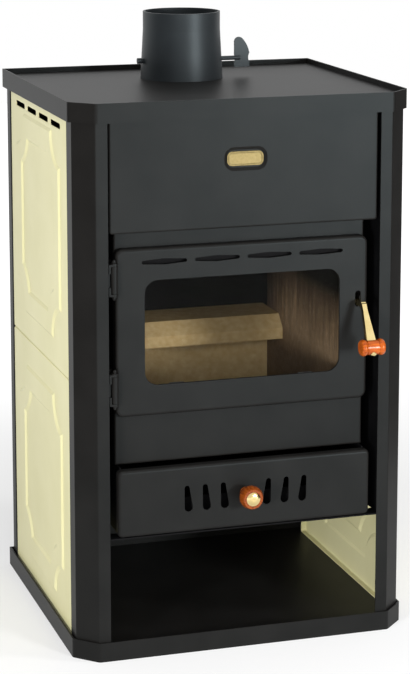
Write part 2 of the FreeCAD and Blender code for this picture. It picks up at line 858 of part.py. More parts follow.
def tile(name, side, low, high, slotted):
    def form(title, inset, sink, run):
        face = (TILE_FACE - sink) * side
        root = (TILE_FACE - S.tile_depth - run) * side
        ends = (root, face) if side > 0 else (face, root)
        loop = rounded_rectangle(TILE_FRONT + inset, TILE_BACK - inset,
                                 low + inset, high - inset, S.tile_corner - inset)
        body = prism(title, "YZ", *ends, loop)
        return round_body(body, S.tile_edge - inset, edges_at("X", face))

    middle = (low + high) / 2
    tall = high - low
    skin = form(f"{name}_skin", ZERO, ZERO, ZERO)
    hollow = form(f"{name}_hollow", S.tile_sheet, S.tile_sheet, S.overrun)
    outside = join(f"{name}_outside", skin, raised_band(f"{name}_band", side, middle, tall, ZERO))
    inside = join(f"{name}_inside", hollow,
                  raised_band(f"{name}_band_back", side, middle, tall, S.tile_sheet))
    if not slotted:
        return node(cut(name, outside, inside))
    half = S.tile_slot_height / 2
    wide = TILE_BACK - TILE_FRONT
    reach = wide * TILE_SLOT_LENGTH_SHARE / 2 - half
    level = high - S.tile_slot_drop
    loops = []
    for step in (-1.5, -0.5, 0.5, 1.5):
        centre = TILE_MIDDLE + wide * TILE_SLOT_PITCH_SHARE * step
        loops.append(capsule(centre - reach, level, half, centre + reach, level, half))
    wall = (TILE_FACE - S.tile_depth) * side
    ends = (wall, (TILE_FACE + S.overrun) * side)
    slots = prism(f"{name}_slots", "YZ", *(ends if side > 0 else ends[::-1]), *loops)
    return node(cut(name, outside, inside, slots))


for side_name, side in (("left", -1), ("right", 1)):
    tile(f"{side_name}_lower_tile", side, BASE_TOP, TILE_SPLIT - S.tile_joint, False)
    tile(f"{side_name}_upper_tile", side, TILE_SPLIT, TOP_UNDER - S.tile_top_gap, True)


# Pressed front panels: a pan with rounded edges, open at the back
def front_pan(name, face, depth, u_half, low, high, corner, edge, gauge):
    def form(title, inset, sink, run):
        body = prism(title, "XZ", face + sink, face + depth + run,
                     rounded_rectangle(-u_half + inset, u_half - inset,
                                       low + inset, high - inset, corner - inset))
        return round_body(body, edge - inset, edges_at("Y", face + sink))

    skin = form(f"{name}_skin", ZERO, ZERO, ZERO)
    hollow = form(f"{name}_hollow", gauge, gauge, S.overrun)
    return skin, hollow


# Upper front panel with the stamped recess, and the bare plate in the recess
PANEL_FACE = -POST_Y + S.panel_setback


def oval_wire(y, z, width, tall, corner):
    half_w, half_h = width / 2 - corner, tall / 2 - corner
    edges = []
    centres = ((half_w, half_h), (-half_w, half_h), (-half_w, -half_h), (half_w, -half_h))
    points = []
    for k, (u, v) in enumerate(centres):
        for turn in (0, 1, 2):
            angle = math.pi / 2 * k + math.pi / 4 * turn
            points.append(FreeCAD.Vector(u + corner * math.cos(angle), y, z + v + corner * math.sin(angle)))
    for k in range(4):
        a, b, c = points[3 * k:3 * k + 3]
        edges.append(Part.Arc(a, b, c).toShape())
        edges.append(Part.LineSegment(c, points[(3 * k + 3) % 12]).toShape())
    return Part.Wire(edges)


def dish(name, start, end, grow):
    """The stamped hollow as a tapered plug between two depths behind the face."""
    wires = []
    for depth in (start, end):
        shrink = S.recess_slope.value * 2 * depth.value / S.recess_depth.value - grow.value * 2
        wires.append(oval_wire(
            (PANEL_FACE + depth).value, BADGE_Z.value, S.recess_width.value - shrink,
            S.recess_tall.value - shrink, S.recess_corner.value - shrink / 2))
    return solid(name, Part.makeLoft(wires, True, True))


PANEL_X = FLANGE_X - S.panel_gap
skin, hollow = front_pan("upper_front_panel", PANEL_FACE, S.panel_depth, PANEL_X, PANEL_LOW,
                         TOP_UNDER, S.panel_corner, S.panel_edge, S.panel_sheet)
pan = cut("upper_front_panel_pan", skin, hollow)
dished = join("upper_front_panel_dished", pan,
              dish("recess_back", S.panel_sheet / 2, S.recess_depth + S.panel_sheet, S.panel_sheet))
node(cut("upper_front_panel", dished, dish("recess_hollow", ZERO, S.recess_depth, ZERO)))
BADGE_BACK = PANEL_FACE + S.recess_depth
badge = prism("badge_plate", "XZ", BADGE_BACK - S.badge_thick, BADGE_BACK,
              rounded_rectangle(-(S.badge_width / 2), S.badge_width / 2,
                                BADGE_Z - S.badge_tall / 2,
                                BADGE_Z + S.badge_tall / 2, S.badge_corner))
node(round_body(badge, S.badge_thick / 2, edges_at("Y", BADGE_BACK - S.badge_thick)))


# Rear panel, screwed inside the rear posts, with two rows of air slots
REAR_X = POST_X - S.post_sheet - S.rear_gap
rear_loops = [rectangle(-REAR_X, REAR_X, BASE_TOP, TOP_UNDER)]
rear_half = S.rear_slot_height / 2
rear_reach = S.rear_slot_length / 2 - rear_half
for level in (CHAMBER_LOW + S.rear_slot_margin, TOP_UNDER - S.rear_slot_margin):
    for step in (-2, -1, 0, 1, 2):
        centre = S.rear_slot_pitch * step
        rear_loops.append(capsule(centre - rear_reach, level, rear_half,
                                  centre + rear_reach, level, rear_half))
node(prism("rear_panel", "XZ", REAR_FACE, REAR_FACE + S.rear_sheet, *rear_loops))


# Cross rails of angle that carry the ash chamber, and the shields that stand on them
RAIL_LOW = CHAMBER_LOW - S.rail_height
RAIL_X = FLANGE_X + S.post_front_flange - S.rail_end
FRONT_RAIL = FLANGE_BACK + S.rail_width
REAR_RAIL = REAR_FACE - S.rail_width
node(prism("front_rail", "YZ", -RAIL_X, RAIL_X, [
    (FLANGE_BACK, CHAMBER_LOW - S.rail_sheet),
    (FRONT_RAIL - S.rail_sheet, CHAMBER_LOW - S.rail_sheet), (FRONT_RAIL - S.rail_sheet, RAIL_LOW),
    (FRONT_RAIL, RAIL_LOW), (FRONT_RAIL, CHAMBER_LOW), (FLANGE_BACK, CHAMBER_LOW)]))
node(prism("rear_rail", "YZ", -RAIL_X, RAIL_X, [
    (REAR_FACE, RAIL_LOW), (REAR_FACE, CHAMBER_LOW), (REAR_RAIL, CHAMBER_LOW),
    (REAR_RAIL, CHAMBER_LOW - S.rail_sheet),
    (REAR_FACE - S.rail_sheet, CHAMBER_LOW - S.rail_sheet),
    (REAR_FACE - S.rail_sheet, RAIL_LOW)]))
SHIELD_X = FLANGE_X + S.shield_offset
for side_name, inner, outer in (("left", -SHIELD_X - S.shield_sheet, -SHIELD_X),
                                ("right", SHIELD_X, SHIELD_X + S.shield_sheet)):
    node(block(f"{side_name}_shield", (inner, FLANGE_BACK, CHAMBER_LOW),
               (outer, REAR_FACE, TOP_UNDER)))


# Ash chamber under the firebox, open to the front and the top, and its runners
CHAMBER_X = FIRE_X - S.chamber_inset
CHAMBER_FRONT = -POST_Y + S.drawer_depth + S.chamber_front_gap
CHAMBER_FLOOR = CHAMBER_LOW + S.chamber_sheet
chamber = block("ash_chamber_blank", (-CHAMBER_X, CHAMBER_FRONT, CHAMBER_LOW),
                (CHAMBER_X, FIRE_BACK, FIRE_LOW))
chamber_space = block(
    "ash_chamber_space",
    (-CHAMBER_X + S.chamber_sheet, CHAMBER_FRONT - S.overrun, CHAMBER_FLOOR),
    (CHAMBER_X - S.chamber_sheet, FIRE_BACK - S.chamber_sheet, FIRE_LOW + S.overrun))
node(cut("ash_chamber", chamber, chamber_space))
runners = []
for side in (-1, 1):
    middle = (CHAMBER_X - S.runner_inset) * side
    runners.append(block(
        f"runner_{len(runners)}",
        (middle - S.runner_width / 2, CHAMBER_FRONT, CHAMBER_FLOOR),
        (middle + S.runner_width / 2, FIRE_BACK - S.chamber_sheet, CHAMBER_FLOOR + S.runner_height)))
node(group("drawer_runners", *runners))


# Firebox of welded plates
for side_name, inner, outer in (("left", -FIRE_X, -FIRE_IN), ("right", FIRE_IN, FIRE_X)):
    node(block(f"firebox_{side_name}_wall", (inner, PLATE_BACK, FIRE_LOW),
               (outer, FIRE_BACK, ROOF_LOW)))
node(block("firebox_back_wall", (-FIRE_IN, FIRE_BACK - S.fire_wall, FIRE_LOW),
           (FIRE_IN, FIRE_BACK, ROOF_LOW)))
node(prism("firebox_roof", "XY", ROOF_LOW, ROOF_TOP,
           rectangle(-FIRE_X, FIRE_X, PLATE_FACE, FIRE_BACK),
           circle(ZERO, FLUE_Y, S.flue_foot_radius - S.flue_wall)))
GRATE_Y = (PLATE_BACK + BACK_BRICK) / 2
GRATE_X = S.grate_width / 2
GRATE_HALF = S.grate_length / 2
node(prism("firebox_floor", "XY", FIRE_LOW, FLOOR_TOP,
           rectangle(-FIRE_IN, FIRE_IN, PLATE_BACK, FIRE_BACK - S.fire_wall),
           rectangle(-GRATE_X + S.grate_seat, GRATE_X - S.grate_seat,
                     GRATE_Y - GRATE_HALF + S.grate_seat, GRATE_Y + GRATE_HALF - S.grate_seat)))

OPENING_X = FIRE_X - S.opening_margin
front_plate = prism(
    "firebox_front_plate", "XZ", PLATE_FACE, PLATE_BACK,
    rectangle(-FIRE_X, FIRE_X, FIRE_LOW, ROOF_LOW),
    rounded_rectangle(-OPENING_X, OPENING_X, OPENING_LOW, OPENING_HIGH, S.opening_corner),
    capsule(HANDLE_X, PIVOT_Z - S.keeper_slot_down, S.keeper_slot_half,
            HANDLE_X, PIVOT_Z + S.keeper_slot_up, S.keeper_slot_half))


def front_rim(edge):
    box = edge.BoundBox
    at_face = edges_at("Y", PLATE_FACE)(edge)
    at_side = abs(abs(box.Center.x) - FIRE_X.value) < 1e-4
    return at_face and (at_side or abs(box.Center.z - FIRE_LOW.value) < 1e-4)


node(round_body(front_plate, S.plate_edge, front_rim))


# Cast grate with long slots, laid over the opening of the floor
grate_loops = [rounded_rectangle(-GRATE_X, GRATE_X, GRATE_Y - GRATE_HALF, GRATE_Y + GRATE_HALF,
                                 S.grate_corner)]
grate_half = S.grate_slot / 2
grate_step = S.grate_slot + S.grate_bar
for row in (-4, -3, -2, -1, 0, 1, 2, 3, 4):
    centre = grate_step * row
    grate_loops.append(capsule(
        centre, GRATE_Y - GRATE_HALF + S.grate_border + grate_half, grate_half,
        centre, GRATE_Y + GRATE_HALF - S.grate_border - grate_half, grate_half))
node(prism("grate", "XY", FLOOR_TOP, FLOOR_TOP + S.grate_thick, *grate_loops))


# Brick lining: side bricks, low back brick, bevelled ledge on brackets, baffle above
for side_name, inner, outer in (("left", -FIRE_IN, -SIDE_BRICK), ("right", SIDE_BRICK, FIRE_IN)):
    node(block(f"{side_name}_brick", (inner, PLATE_BACK + S.latch_room, FLOOR_TOP),
               (outer, BACK_BRICK - S.brick_gap, BRICK_TOP)))
node(block("back_brick", (-FIRE_IN, BACK_BRICK, FLOOR_TOP),
           (FIRE_IN, FIRE_BACK - S.fire_wall, LEDGE_LOW)))
LEDGE_X = SIDE_BRICK - S.brick_gap
LEDGE_FRONT = BACK_BRICK - S.ledge_depth
node(prism("ledge_brick", "YZ", -LEDGE_X, LEDGE_X, [
    (LEDGE_FRONT, LEDGE_LOW), (FIRE_BACK - S.fire_wall, LEDGE_LOW),
    (FIRE_BACK - S.fire_wall, LEDGE_HIGH), (LEDGE_FRONT + S.ledge_bevel, LEDGE_HIGH),
    (LEDGE_FRONT, LEDGE_HIGH - S.ledge_bevel)]))
feet = []
for side in (-1, 1):
    wall = SIDE_BRICK * side
    outline = [
        (wall, LEDGE_LOW), (wall, LEDGE_LOW - S.ledge_foot_drop),
        ((SIDE_BRICK - S.ledge_foot_sheet) * side, LEDGE_LOW - S.ledge_foot_drop),
        ((SIDE_BRICK - S.ledge_foot_sheet) * side, LEDGE_LOW - S.ledge_foot_sheet),
        ((SIDE_BRICK - S.ledge_foot) * side, LEDGE_LOW - S.ledge_foot_sheet),
        ((SIDE_BRICK - S.ledge_foot) * side, LEDGE_LOW)]
    feet.append(prism(f"ledge_foot_{len(feet)}", "XZ",
                      BACK_BRICK - S.ledge_foot - S.ledge_foot_length,
                      BACK_BRICK - S.ledge_foot, outline))
node(group("ledge_brackets", *feet))
BAFFLE_BACK = FIRE_BACK - S.fire_wall - S.brick_gap
node(block("baffle_plate",
           (-FIRE_IN + S.brick_gap, PLATE_BACK + S.baffle_front_gap, BRICK_TOP),
           (FIRE_IN - S.brick_gap, BAFFLE_BACK, BRICK_TOP + S.baffle_thick)))


# Flue spigot: a tapered tube with a straight seat for the pipe, standing on the roof
SEAT_LOW = FLUE_TOP - S.flue_seat_length
DAMPER_Z = TOP_FACE + S.damper_rise
spigot_tube = turned("flue_spigot_tube", (ZERO, FLUE_Y, ZERO), (0, 0, 1), [
    (S.flue_foot_radius - S.flue_wall, ROOF_TOP), (S.flue_foot_radius, ROOF_TOP),
    (S.flue_foot_radius, TOP_FACE), (S.flue_seat_radius, SEAT_LOW),
    (S.flue_seat_radius, FLUE_TOP), (S.flue_seat_radius - S.flue_wall, FLUE_TOP),
    (S.flue_seat_radius - S.flue_wall, SEAT_LOW), (S.flue_foot_radius - S.flue_wall, TOP_FACE)])
spigot_bore = rod("flue_spigot_bore",
                  (-S.flue_foot_radius - S.overrun, FLUE_Y, DAMPER_Z), (1, 0, 0),
                  S.damper_rod_radius + S.damper_rod_clear,
                  (S.flue_foot_radius + S.overrun) * 2)
node(cut("flue_spigot", spigot_tube, spigot_bore))

# Damper: a rod through the spigot, a round flap on it and a leaf-shaped handle
HEAD_X = -S.flue_foot_radius - S.damper_head_gap
node(turned("damper_rod", (HEAD_X - S.damper_head_length, FLUE_Y, DAMPER_Z), (1, 0, 0), [
    (ZERO, ZERO), (S.damper_head_radius, ZERO),
    (S.damper_head_radius, S.damper_head_length),
    (S.damper_rod_radius, S.damper_head_length),
    (S.damper_rod_radius, S.damper_reach + S.damper_tang - HEAD_X + S.damper_head_length),
    (ZERO, S.damper_reach + S.damper_tang - HEAD_X + S.damper_head_length)]))
FLAP_Y = FLUE_Y + S.damper_rod_radius
node(rod("damper_flap", (ZERO, FLAP_Y, DAMPER_Z), (0, 1, 0), S.damper_flap_radius, S.damper_flap_thick))
LEAF_X = S.damper_reach - S.leaf_left
leaf = prism(
    "damper_leaf", "XZ", FLUE_Y - S.leaf_thick / 2, FLUE_Y + S.leaf_thick / 2, [
        (LEAF_X, DAMPER_Z - S.leaf_foot), (LEAF_X + S.leaf_right, DAMPER_Z - S.leaf_foot),
        (LEAF_X + S.leaf_right, DAMPER_Z - S.leaf_foot / 2, S.leaf_foot, -1),
        (LEAF_X + S.leaf_right, DAMPER_Z + S.leaf_foot / 2, S.leaf_top * LEAF_BACK_SHARE, 1),
        (LEAF_X + S.leaf_crown, DAMPER_Z + S.leaf_top, S.leaf_crown * LEAF_CROWN_SHARE, 1),
        (LEAF_X, DAMPER_Z + S.leaf_top - S.leaf_crown * LEAF_SHOULDER_SHARE),
        (LEAF_X, DAMPER_Z + S.leaf_foot * LEAF_NOTCH_SHARE, S.leaf_foot, -1),
        (LEAF_X, DAMPER_Z - S.leaf_foot / 2)])
leaf_bore = rod("damper_leaf_bore", (S.damper_reach - S.overrun, FLUE_Y, DAMPER_Z), (1, 0, 0),
                S.damper_rod_radius + S.hinge_pin_clear, S.damper_tang + S.overrun + S.hinge_pin_clear)
node(cut("damper_handle", leaf, leaf_bore))


# Door: a deep pressed panel with a window, four slots and a slot for the lever
WINDOW_X = DOOR_X - S.window_margin
VENT_HALF = WINDOW_X * VENT_LENGTH_SHARE / 2 - S.vent_end
PIVOT_Y = DOOR_BACK + S.pivot_depth
skin, hollow = front_pan("door_panel", DOOR_FACE, S.door_depth, DOOR_X, DOOR_LOW, DOOR_HIGH,
                         S.door_corner, S.door_edge, S.door_sheet)
door_loops = [rounded_rectangle(-WINDOW_X, WINDOW_X, WINDOW_LOW, WINDOW_HIGH, S.window_corner)]
for step in (-1.5, -0.5, 0.5, 1.5):
    centre = WINDOW_X * VENT_PITCH_SHARE * step
    left = centre - VENT_HALF
    right = centre + VENT_HALF
    low_end = VENT_Z - S.vent_end
    high_end = VENT_Z + S.vent_end
    round_end = S.vent_end * VENT_ROUND_SHARE
    door_loops.append([
        (left, low_end), (centre, VENT_Z - S.vent_middle), (right, low_end, round_end, 1),
        (right, high_end), (centre, VENT_Z + S.vent_middle), (left, high_end, round_end, 1)])
door_loops.append(capsule(
    HANDLE_X, PIVOT_Z - S.lever_slot_down + S.lever_slot_half, S.lever_slot_half,
    HANDLE_X, PIVOT_Z + S.lever_slot_up - S.lever_slot_half, S.lever_slot_half))
door_holes = prism("door_panel_holes", "XZ", DOOR_FACE - S.overrun, DOOR_BACK + S.overrun, *door_loops)
node(cut("door_panel", skin, hollow, door_holes))

# Glass on its gasket, held by clips behind the panel
GLASS_X = WINDOW_X + S.glass_lap
GLASS_LOW = WINDOW_LOW - S.glass_lap
GLASS_HIGH = WINDOW_HIGH + S.glass_lap
GLASS_FACE = DOOR_BACK + S.gasket_thick
GLASS_BACK = GLASS_FACE + S.glass_thick
glass_edge = rounded_rectangle(-GLASS_X, GLASS_X, GLASS_LOW, GLASS_HIGH, S.glass_corner)
node(prism("glass_gasket", "XZ", DOOR_BACK, GLASS_FACE, glass_edge,
           rounded_rectangle(-WINDOW_X - S.gasket_lap, WINDOW_X + S.gasket_lap,
                             WINDOW_LOW - S.gasket_lap, WINDOW_HIGH + S.gasket_lap,
                             S.window_corner)))
node(prism("door_glass", "XZ", GLASS_FACE, GLASS_BACK, glass_edge))
clips = []
for edge, way in ((GLASS_HIGH, 1), (GLASS_LOW, -1)):
    riser = edge + S.clip_clear * way
    step = riser + S.clip_sheet * way
    foot = step + S.clip_foot * way
    outline = [
        (DOOR_BACK, riser), (DOOR_BACK, foot), (DOOR_BACK + S.clip_sheet, foot),
        (DOOR_BACK + S.clip_sheet, step), (GLASS_BACK + S.clip_sheet, step),
        (GLASS_BACK + S.clip_sheet, edge - S.clip_lap * way), (GLASS_BACK, edge - S.clip_lap * way),
        (GLASS_BACK, riser)]
    for side in (-1, 1):
        middle = (GLASS_X - S.clip_inset) * side
        clips.append(prism(f"glass_clip_{len(clips)}", "YZ", middle - S.clip_width / 2,
                           middle + S.clip_width / 2, outline))
node(group("glass_clips", *clips))

# Rope seal between the door and the front plate
SEAL_R = (PLATE_FACE - DOOR_BACK - S.seal_gap) / 2
SEAL_X = OPENING_X + S.seal_lap_side
SEAL_LOW = OPENING_LOW - S.seal_lap_tall
SEAL_HIGH = OPENING_HIGH + S.seal_lap_tall


def seal_loop(grow):
    return rounded_rectangle(-SEAL_X - grow, SEAL_X + grow, SEAL_LOW - grow, SEAL_HIGH + grow,
                             S.seal_corner + grow)


seal = prism("door_seal", "XZ", DOOR_BACK, DOOR_BACK + SEAL_R * 2, seal_loop(SEAL_R), seal_loop(-SEAL_R))
seal_faces = (edges_at("Y", DOOR_BACK), edges_at("Y", DOOR_BACK + SEAL_R * 2))
node(round_body(seal, SEAL_R * ROPE_ROUND_SHARE, lambda edge: any(test(edge) for test in seal_faces)))

# Deflector behind the door slots: a strip with bent ends that touch the panel
DEFLECTOR_X = SEAL_X - S.seal_corner - S.deflector_gap
DEFLECTOR_BACK = DOOR_BACK + S.deflector_depth
END_IN = DEFLECTOR_X - S.deflector_sheet
node(prism("air_deflector", "XY", VENT_Z - S.deflector_drop, SEAL_HIGH - SEAL_R - S.deflector_gap, [
    (-DEFLECTOR_X, DOOR_BACK), (-DEFLECTOR_X, DEFLECTOR_BACK), (DEFLECTOR_X, DEFLECTOR_BACK),
    (DEFLECTOR_X, DOOR_BACK), (END_IN, DOOR_BACK), (END_IN, DEFLECTOR_BACK - S.deflector_sheet),
    (-END_IN, DEFLECTOR_BACK - S.deflector_sheet), (-END_IN, DOOR_BACK)]))


# Hinges: a bracket on the firebox wall, a knuckle on the door edge, a pin with turned ends
HINGE_X = -DOOR_X - S.hinge_left
HINGE_Y = DOOR_FACE - S.hinge_proud
PIN_BORE = S.hinge_pin_radius + S.hinge_pin_clear


def hinge(prefix, height):
    half = S.knuckle_length / 2
    lug_low = half + S.knuckle_gap
    tube = rod(f"{prefix}_knuckle_tube", (HINGE_X, HINGE_Y, height - half), (0, 0, 1),
               S.hinge_radius, S.knuckle_length)
    web = block(f"{prefix}_knuckle_web", (-DOOR_X - S.knuckle_web, HINGE_Y, height - half),
                (-DOOR_X, HINGE_Y + S.knuckle_reach, height + half))
    bore = rod(f"{prefix}_knuckle_bore", (HINGE_X, HINGE_Y, height - half - S.overrun), (0, 0, 1),
               PIN_BORE, S.knuckle_length + S.overrun * 2)
    node(cut(f"{prefix}_hinge_knuckle", join(f"{prefix}_knuckle_blank", tube, web), bore))

    plate_in = HINGE_X - S.hinge_radius - S.bracket_clear
    plate_out = plate_in - S.bracket_sheet
    reach = lug_low + S.lug_thick
    foot_front = PLATE_BACK + S.bracket_foot_back
    plate = block(f"{prefix}_bracket_plate", (plate_out, HINGE_Y - S.hinge_radius, height - reach),
                  (plate_in, foot_front + S.bracket_foot, height + reach))
    window = block(f"{prefix}_bracket_window", (plate_out - S.overrun, HINGE_Y - S.hinge_radius - S.overrun,
                                                height - half / 2),
                   (plate_in + S.overrun, HINGE_Y, height + half / 2))
    foot = block(f"{prefix}_bracket_foot", (plate_out, foot_front, height - reach),
                 (-FIRE_X, foot_front + S.bracket_foot, height + reach))
    pieces = [cut(f"{prefix}_bracket_leaf", plate, window), foot]
    for name, low in (("low", height - reach), ("high", height + lug_low)):
        pieces.append(rod(f"{prefix}_lug_{name}", (HINGE_X, HINGE_Y, low), (0, 0, 1),
                          S.hinge_radius, S.lug_thick))
        pieces.append(block(f"{prefix}_lug_web_{name}", (plate_out, HINGE_Y - S.hinge_radius, low),
                            (HINGE_X, HINGE_Y + S.hinge_radius, low + S.lug_thick)))
    through = rod(f"{prefix}_bracket_bore", (HINGE_X, HINGE_Y, height - reach - S.overrun), (0, 0, 1),
                  PIN_BORE, (reach + S.overrun) * 2)
    node(cut(f"{prefix}_hinge_bracket", join(f"{prefix}_bracket_blank", *pieces), through))

    disc = S.finial_height * DISC_SHARE
    neck = S.finial_height * NECK_SHARE
    top = reach + S.finial_height
    node(turned(f"{prefix}_hinge_pin", (HINGE_X, HINGE_Y, height), (0, 0, 1), [
        (ZERO, -top), (S.finial_neck / 2, -top, S.finial_ball, 1),
        (S.finial_neck, -reach - neck), (S.finial_neck, -reach - disc),
        (S.finial_disc, -reach - disc), (S.finial_disc, -reach), (S.hinge_pin_radius, -reach),
        (S.hinge_pin_radius, reach), (S.finial_disc, reach), (S.finial_disc, reach + disc),
        (S.finial_neck, reach + disc), (S.finial_neck, reach + neck, S.finial_ball, 1),
        (S.finial_neck / 2, top), (ZERO, top)]))


hinge("upper", HINGE_UPPER)
hinge("lower", HINGE_LOWER)


# Door handle: two cheeks and a pin on the door, lever, turned grip and end nut
LEAN_SIN = math.sin(math.radians(LEVER_LEAN))
LEAN_COS = math.cos(math.radians(LEVER_LEAN))
TURN_SHARE = math.tan(math.radians(90 - LEVER_LEAN) / 2)
ELBOW_Y = DOOR_FACE - S.lever_elbow
cheeks = []
LEVER_IN = S.lever_thin / 2 + S.cheek_gap
for side in (-1, 1):
    ends = (HANDLE_X + LEVER_IN * side,
            HANDLE_X + (LEVER_IN + S.cheek_sheet) * side)
    low_x, high_x = ends if side > 0 else ends[::-1]
    blank = block(f"cheek_blank_{len(cheeks)}",
                  (low_x, DOOR_BACK, PIVOT_Z - S.cheek_height / 2),
                  (high_x, PLATE_FACE - S.cheek_back, PIVOT_Z + S.cheek_height / 2))
    hole = rod(f"cheek_hole_{len(cheeks)}", (low_x - S.overrun, PIVOT_Y, PIVOT_Z), (1, 0, 0),
               S.pivot_pin_radius + S.pivot_clear, S.cheek_sheet + S.overrun * 2)
    cheeks.append(cut(f"cheek_{len(cheeks)}", blank, hole))
node(group("handle_bracket", *cheeks))
PIN_HALF = LEVER_IN + S.cheek_sheet + S.cheek_gap
node(rod("handle_pin", (HANDLE_X - PIN_HALF, PIVOT_Y, PIVOT_Z), (1, 0, 0),
         S.pivot_pin_radius, PIN_HALF * 2))


def on_arm(along, across):
    """A point on the lower arm: so far from the elbow, so far in front of its axis."""
    return (ELBOW_Y - along * LEAN_SIN - across * LEAN_COS,
            PIVOT_Z - along * LEAN_COS + across * LEAN_SIN)


GRIP_Y, GRIP_Z = on_arm(S.lever_arm, ZERO)
SEAT = S.lever_arm - S.grip_waist + S.grip_flat
bend = (S.lever_half + S.lever_bend) * TURN_SHARE
side_view = prism("lever_side", "YZ", HANDLE_X - S.lever_wide, HANDLE_X + S.lever_wide, [
    (PIVOT_Y + S.lever_tail, PIVOT_Z - S.lever_half),
    (PIVOT_Y + S.lever_tail, PIVOT_Z + S.lever_half),
    (ELBOW_Y, PIVOT_Z + S.lever_half, S.lever_half, -1),
    on_arm(ZERO, S.lever_half), on_arm(SEAT, S.lever_half),
    on_arm(SEAT, -S.lever_half), (*on_arm(bend, -S.lever_half), S.lever_bend, -1),
    (ELBOW_Y + bend, PIVOT_Z - S.lever_half)])
WIDE_LOW = GRIP_Z - S.grip_waist
front_view = prism(
    "lever_front", "XZ", GRIP_Y - S.grip_waist * 2, PIVOT_Y + S.lever_tail + S.overrun, [
        (HANDLE_X - S.lever_wide / 2, WIDE_LOW), (HANDLE_X + S.lever_wide / 2, WIDE_LOW),
        (HANDLE_X + S.lever_wide / 2, GRIP_Z + S.grip_waist),
        (HANDLE_X + S.lever_thin / 2, PIVOT_Z - S.lever_half * 2),
        (HANDLE_X + S.lever_thin / 2, PIVOT_Z + S.lever_half * 2),
        (HANDLE_X - S.lever_thin / 2, PIVOT_Z + S.lever_half * 2),
        (HANDLE_X - S.lever_thin / 2, PIVOT_Z - S.lever_half * 2),
        (HANDLE_X - S.lever_wide / 2, GRIP_Z + S.grip_waist)])
lever_bar = common("lever_bar", side_view, front_view)
ARM = (0, -LEAN_SIN, -LEAN_COS)
stud_y, stud_z = on_arm(SEAT - S.overrun, ZERO)
stud = rod("lever_stud_bar", (HANDLE_X, stud_y, stud_z), ARM, S.lever_stud,
           (S.grip_waist - S.grip_flat) * 2 + S.overrun + S.grip_nut_height / 2)
lever_eye = rod("lever_eye", (HANDLE_X - S.lever_wide, PIVOT_Y, PIVOT_Z), (1, 0, 0),
                S.pivot_pin_radius + S.pivot_clear, S.lever_wide * 2)
node(cut("handle_lever", join("lever_blank", lever_bar, stud), lever_eye))

END = S.grip_length / 2
IN_GROOVE = S.grip_groove_place
OUT_GROOVE = S.grip_groove_place + S.grip_groove_width
grip_form = turned("grip_form", (HANDLE_X, GRIP_Y, GRIP_Z), (1, 0, 0), [
    (ZERO, -END), (S.grip_end, -END, S.grip_bulge_bow, 1), (S.grip_groove, -OUT_GROOVE),
    (S.grip_groove, -IN_GROOVE), (S.grip_waist, -IN_GROOVE), (S.grip_waist, IN_GROOVE),
    (S.grip_groove, IN_GROOVE),
    (S.grip_groove, OUT_GROOVE, S.grip_bulge_bow, 1), (S.grip_end, END), (ZERO, END)])
FLAT = S.grip_waist - S.grip_flat
bore_y, bore_z = on_arm(S.lever_arm - S.grip_waist * 2, ZERO)
grip_bore = rod("grip_bore", (HANDLE_X, bore_y, bore_z), ARM, S.lever_stud + S.grip_bore_clear,
                S.grip_waist * 4)
grip_seat = rod("grip_seat", (HANDLE_X, bore_y, bore_z), ARM,
                S.lever_wide / 2 + S.lever_half / 2, S.grip_waist + S.grip_flat)
nut_y, nut_z = on_arm(S.lever_arm + FLAT, ZERO)
grip_nut_seat = rod("grip_nut_seat", (HANDLE_X, nut_y, nut_z), ARM,
                    S.grip_nut_radius + S.grip_bore_clear, S.grip_waist)
node(cut("handle_grip", grip_form, grip_bore, grip_seat, grip_nut_seat))
NUT_BORE = S.lever_stud + S.grip_bore_clear
nut_form = turned("grip_nut_form", (HANDLE_X, nut_y, nut_z), ARM, [
    (ZERO, ZERO), (S.grip_nut_radius, ZERO), (S.grip_nut_radius, S.grip_nut_height / 2, S.grip_nut_bow, 1),
    (S.grip_nut_radius * DOME_SHARE, S.grip_nut_height), (ZERO, S.grip_nut_height)])
nut_bore = rod("grip_nut_bore", (HANDLE_X, nut_y, nut_z), ARM, NUT_BORE,
               S.grip_nut_height / 2 + S.grip_bore_clear)
node(cut("grip_nut", nut_form, nut_bore))

# Keeper behind the front plate, with the slot that the lever's tail passes
KEEPER_X = S.keeper_slot_half + S.keeper_border
node(prism("door_keeper", "XZ", PLATE_BACK, PLATE_BACK + S.keeper_thick,
           rectangle(HANDLE_X - KEEPER_X, HANDLE_X + KEEPER_X - S.plate_edge,
                     PIVOT_Z - S.keeper_slot_down - KEEPER_X,
                     PIVOT_Z + S.keeper_slot_up + KEEPER_X),
           capsule(HANDLE_X, PIVOT_Z - S.keeper_slot_down, S.keeper_slot_half,
                   HANDLE_X, PIVOT_Z + S.keeper_slot_up, S.keeper_slot_half)))


# Ash drawer: pressed front with teardrop slots, and the open ash box behind it
skin, hollow = front_pan("drawer_front", -POST_Y, S.drawer_depth, DRAWER_X, DRAWER_LOW, DRAWER_HIGH,
                         S.drawer_corner, S.drawer_edge, S.drawer_sheet)


AIR_NEAR = DRAWER_X * AIR_NEAR_SHARE
AIR_PITCH = DRAWER_X * AIR_PITCH_SHARE


def air_slots(extra):
    loops = []
    for side in (-1, 1):
        for row in (0, 1, 2):
            centre = AIR_NEAR + AIR_PITCH * row
            loops.append(capsule((centre + S.air_lean) * side, AIR_HIGH, S.air_top_radius + extra,
                                 (centre - S.air_lean) * side, AIR_LOW, S.air_foot_radius + extra))
    return loops


BOLT_SLOT = S.bolt_radius + S.bolt_slot_clear
drawer_holes = prism("drawer_front_holes", "XZ", -POST_Y - S.overrun, DRAWER_IN + S.overrun,
                     *air_slots(ZERO),
                     capsule(ZERO, KNOB_Z, BOLT_SLOT, S.register_travel, KNOB_Z, BOLT_SLOT))
node(cut("drawer_front", skin, hollow, drawer_holes))

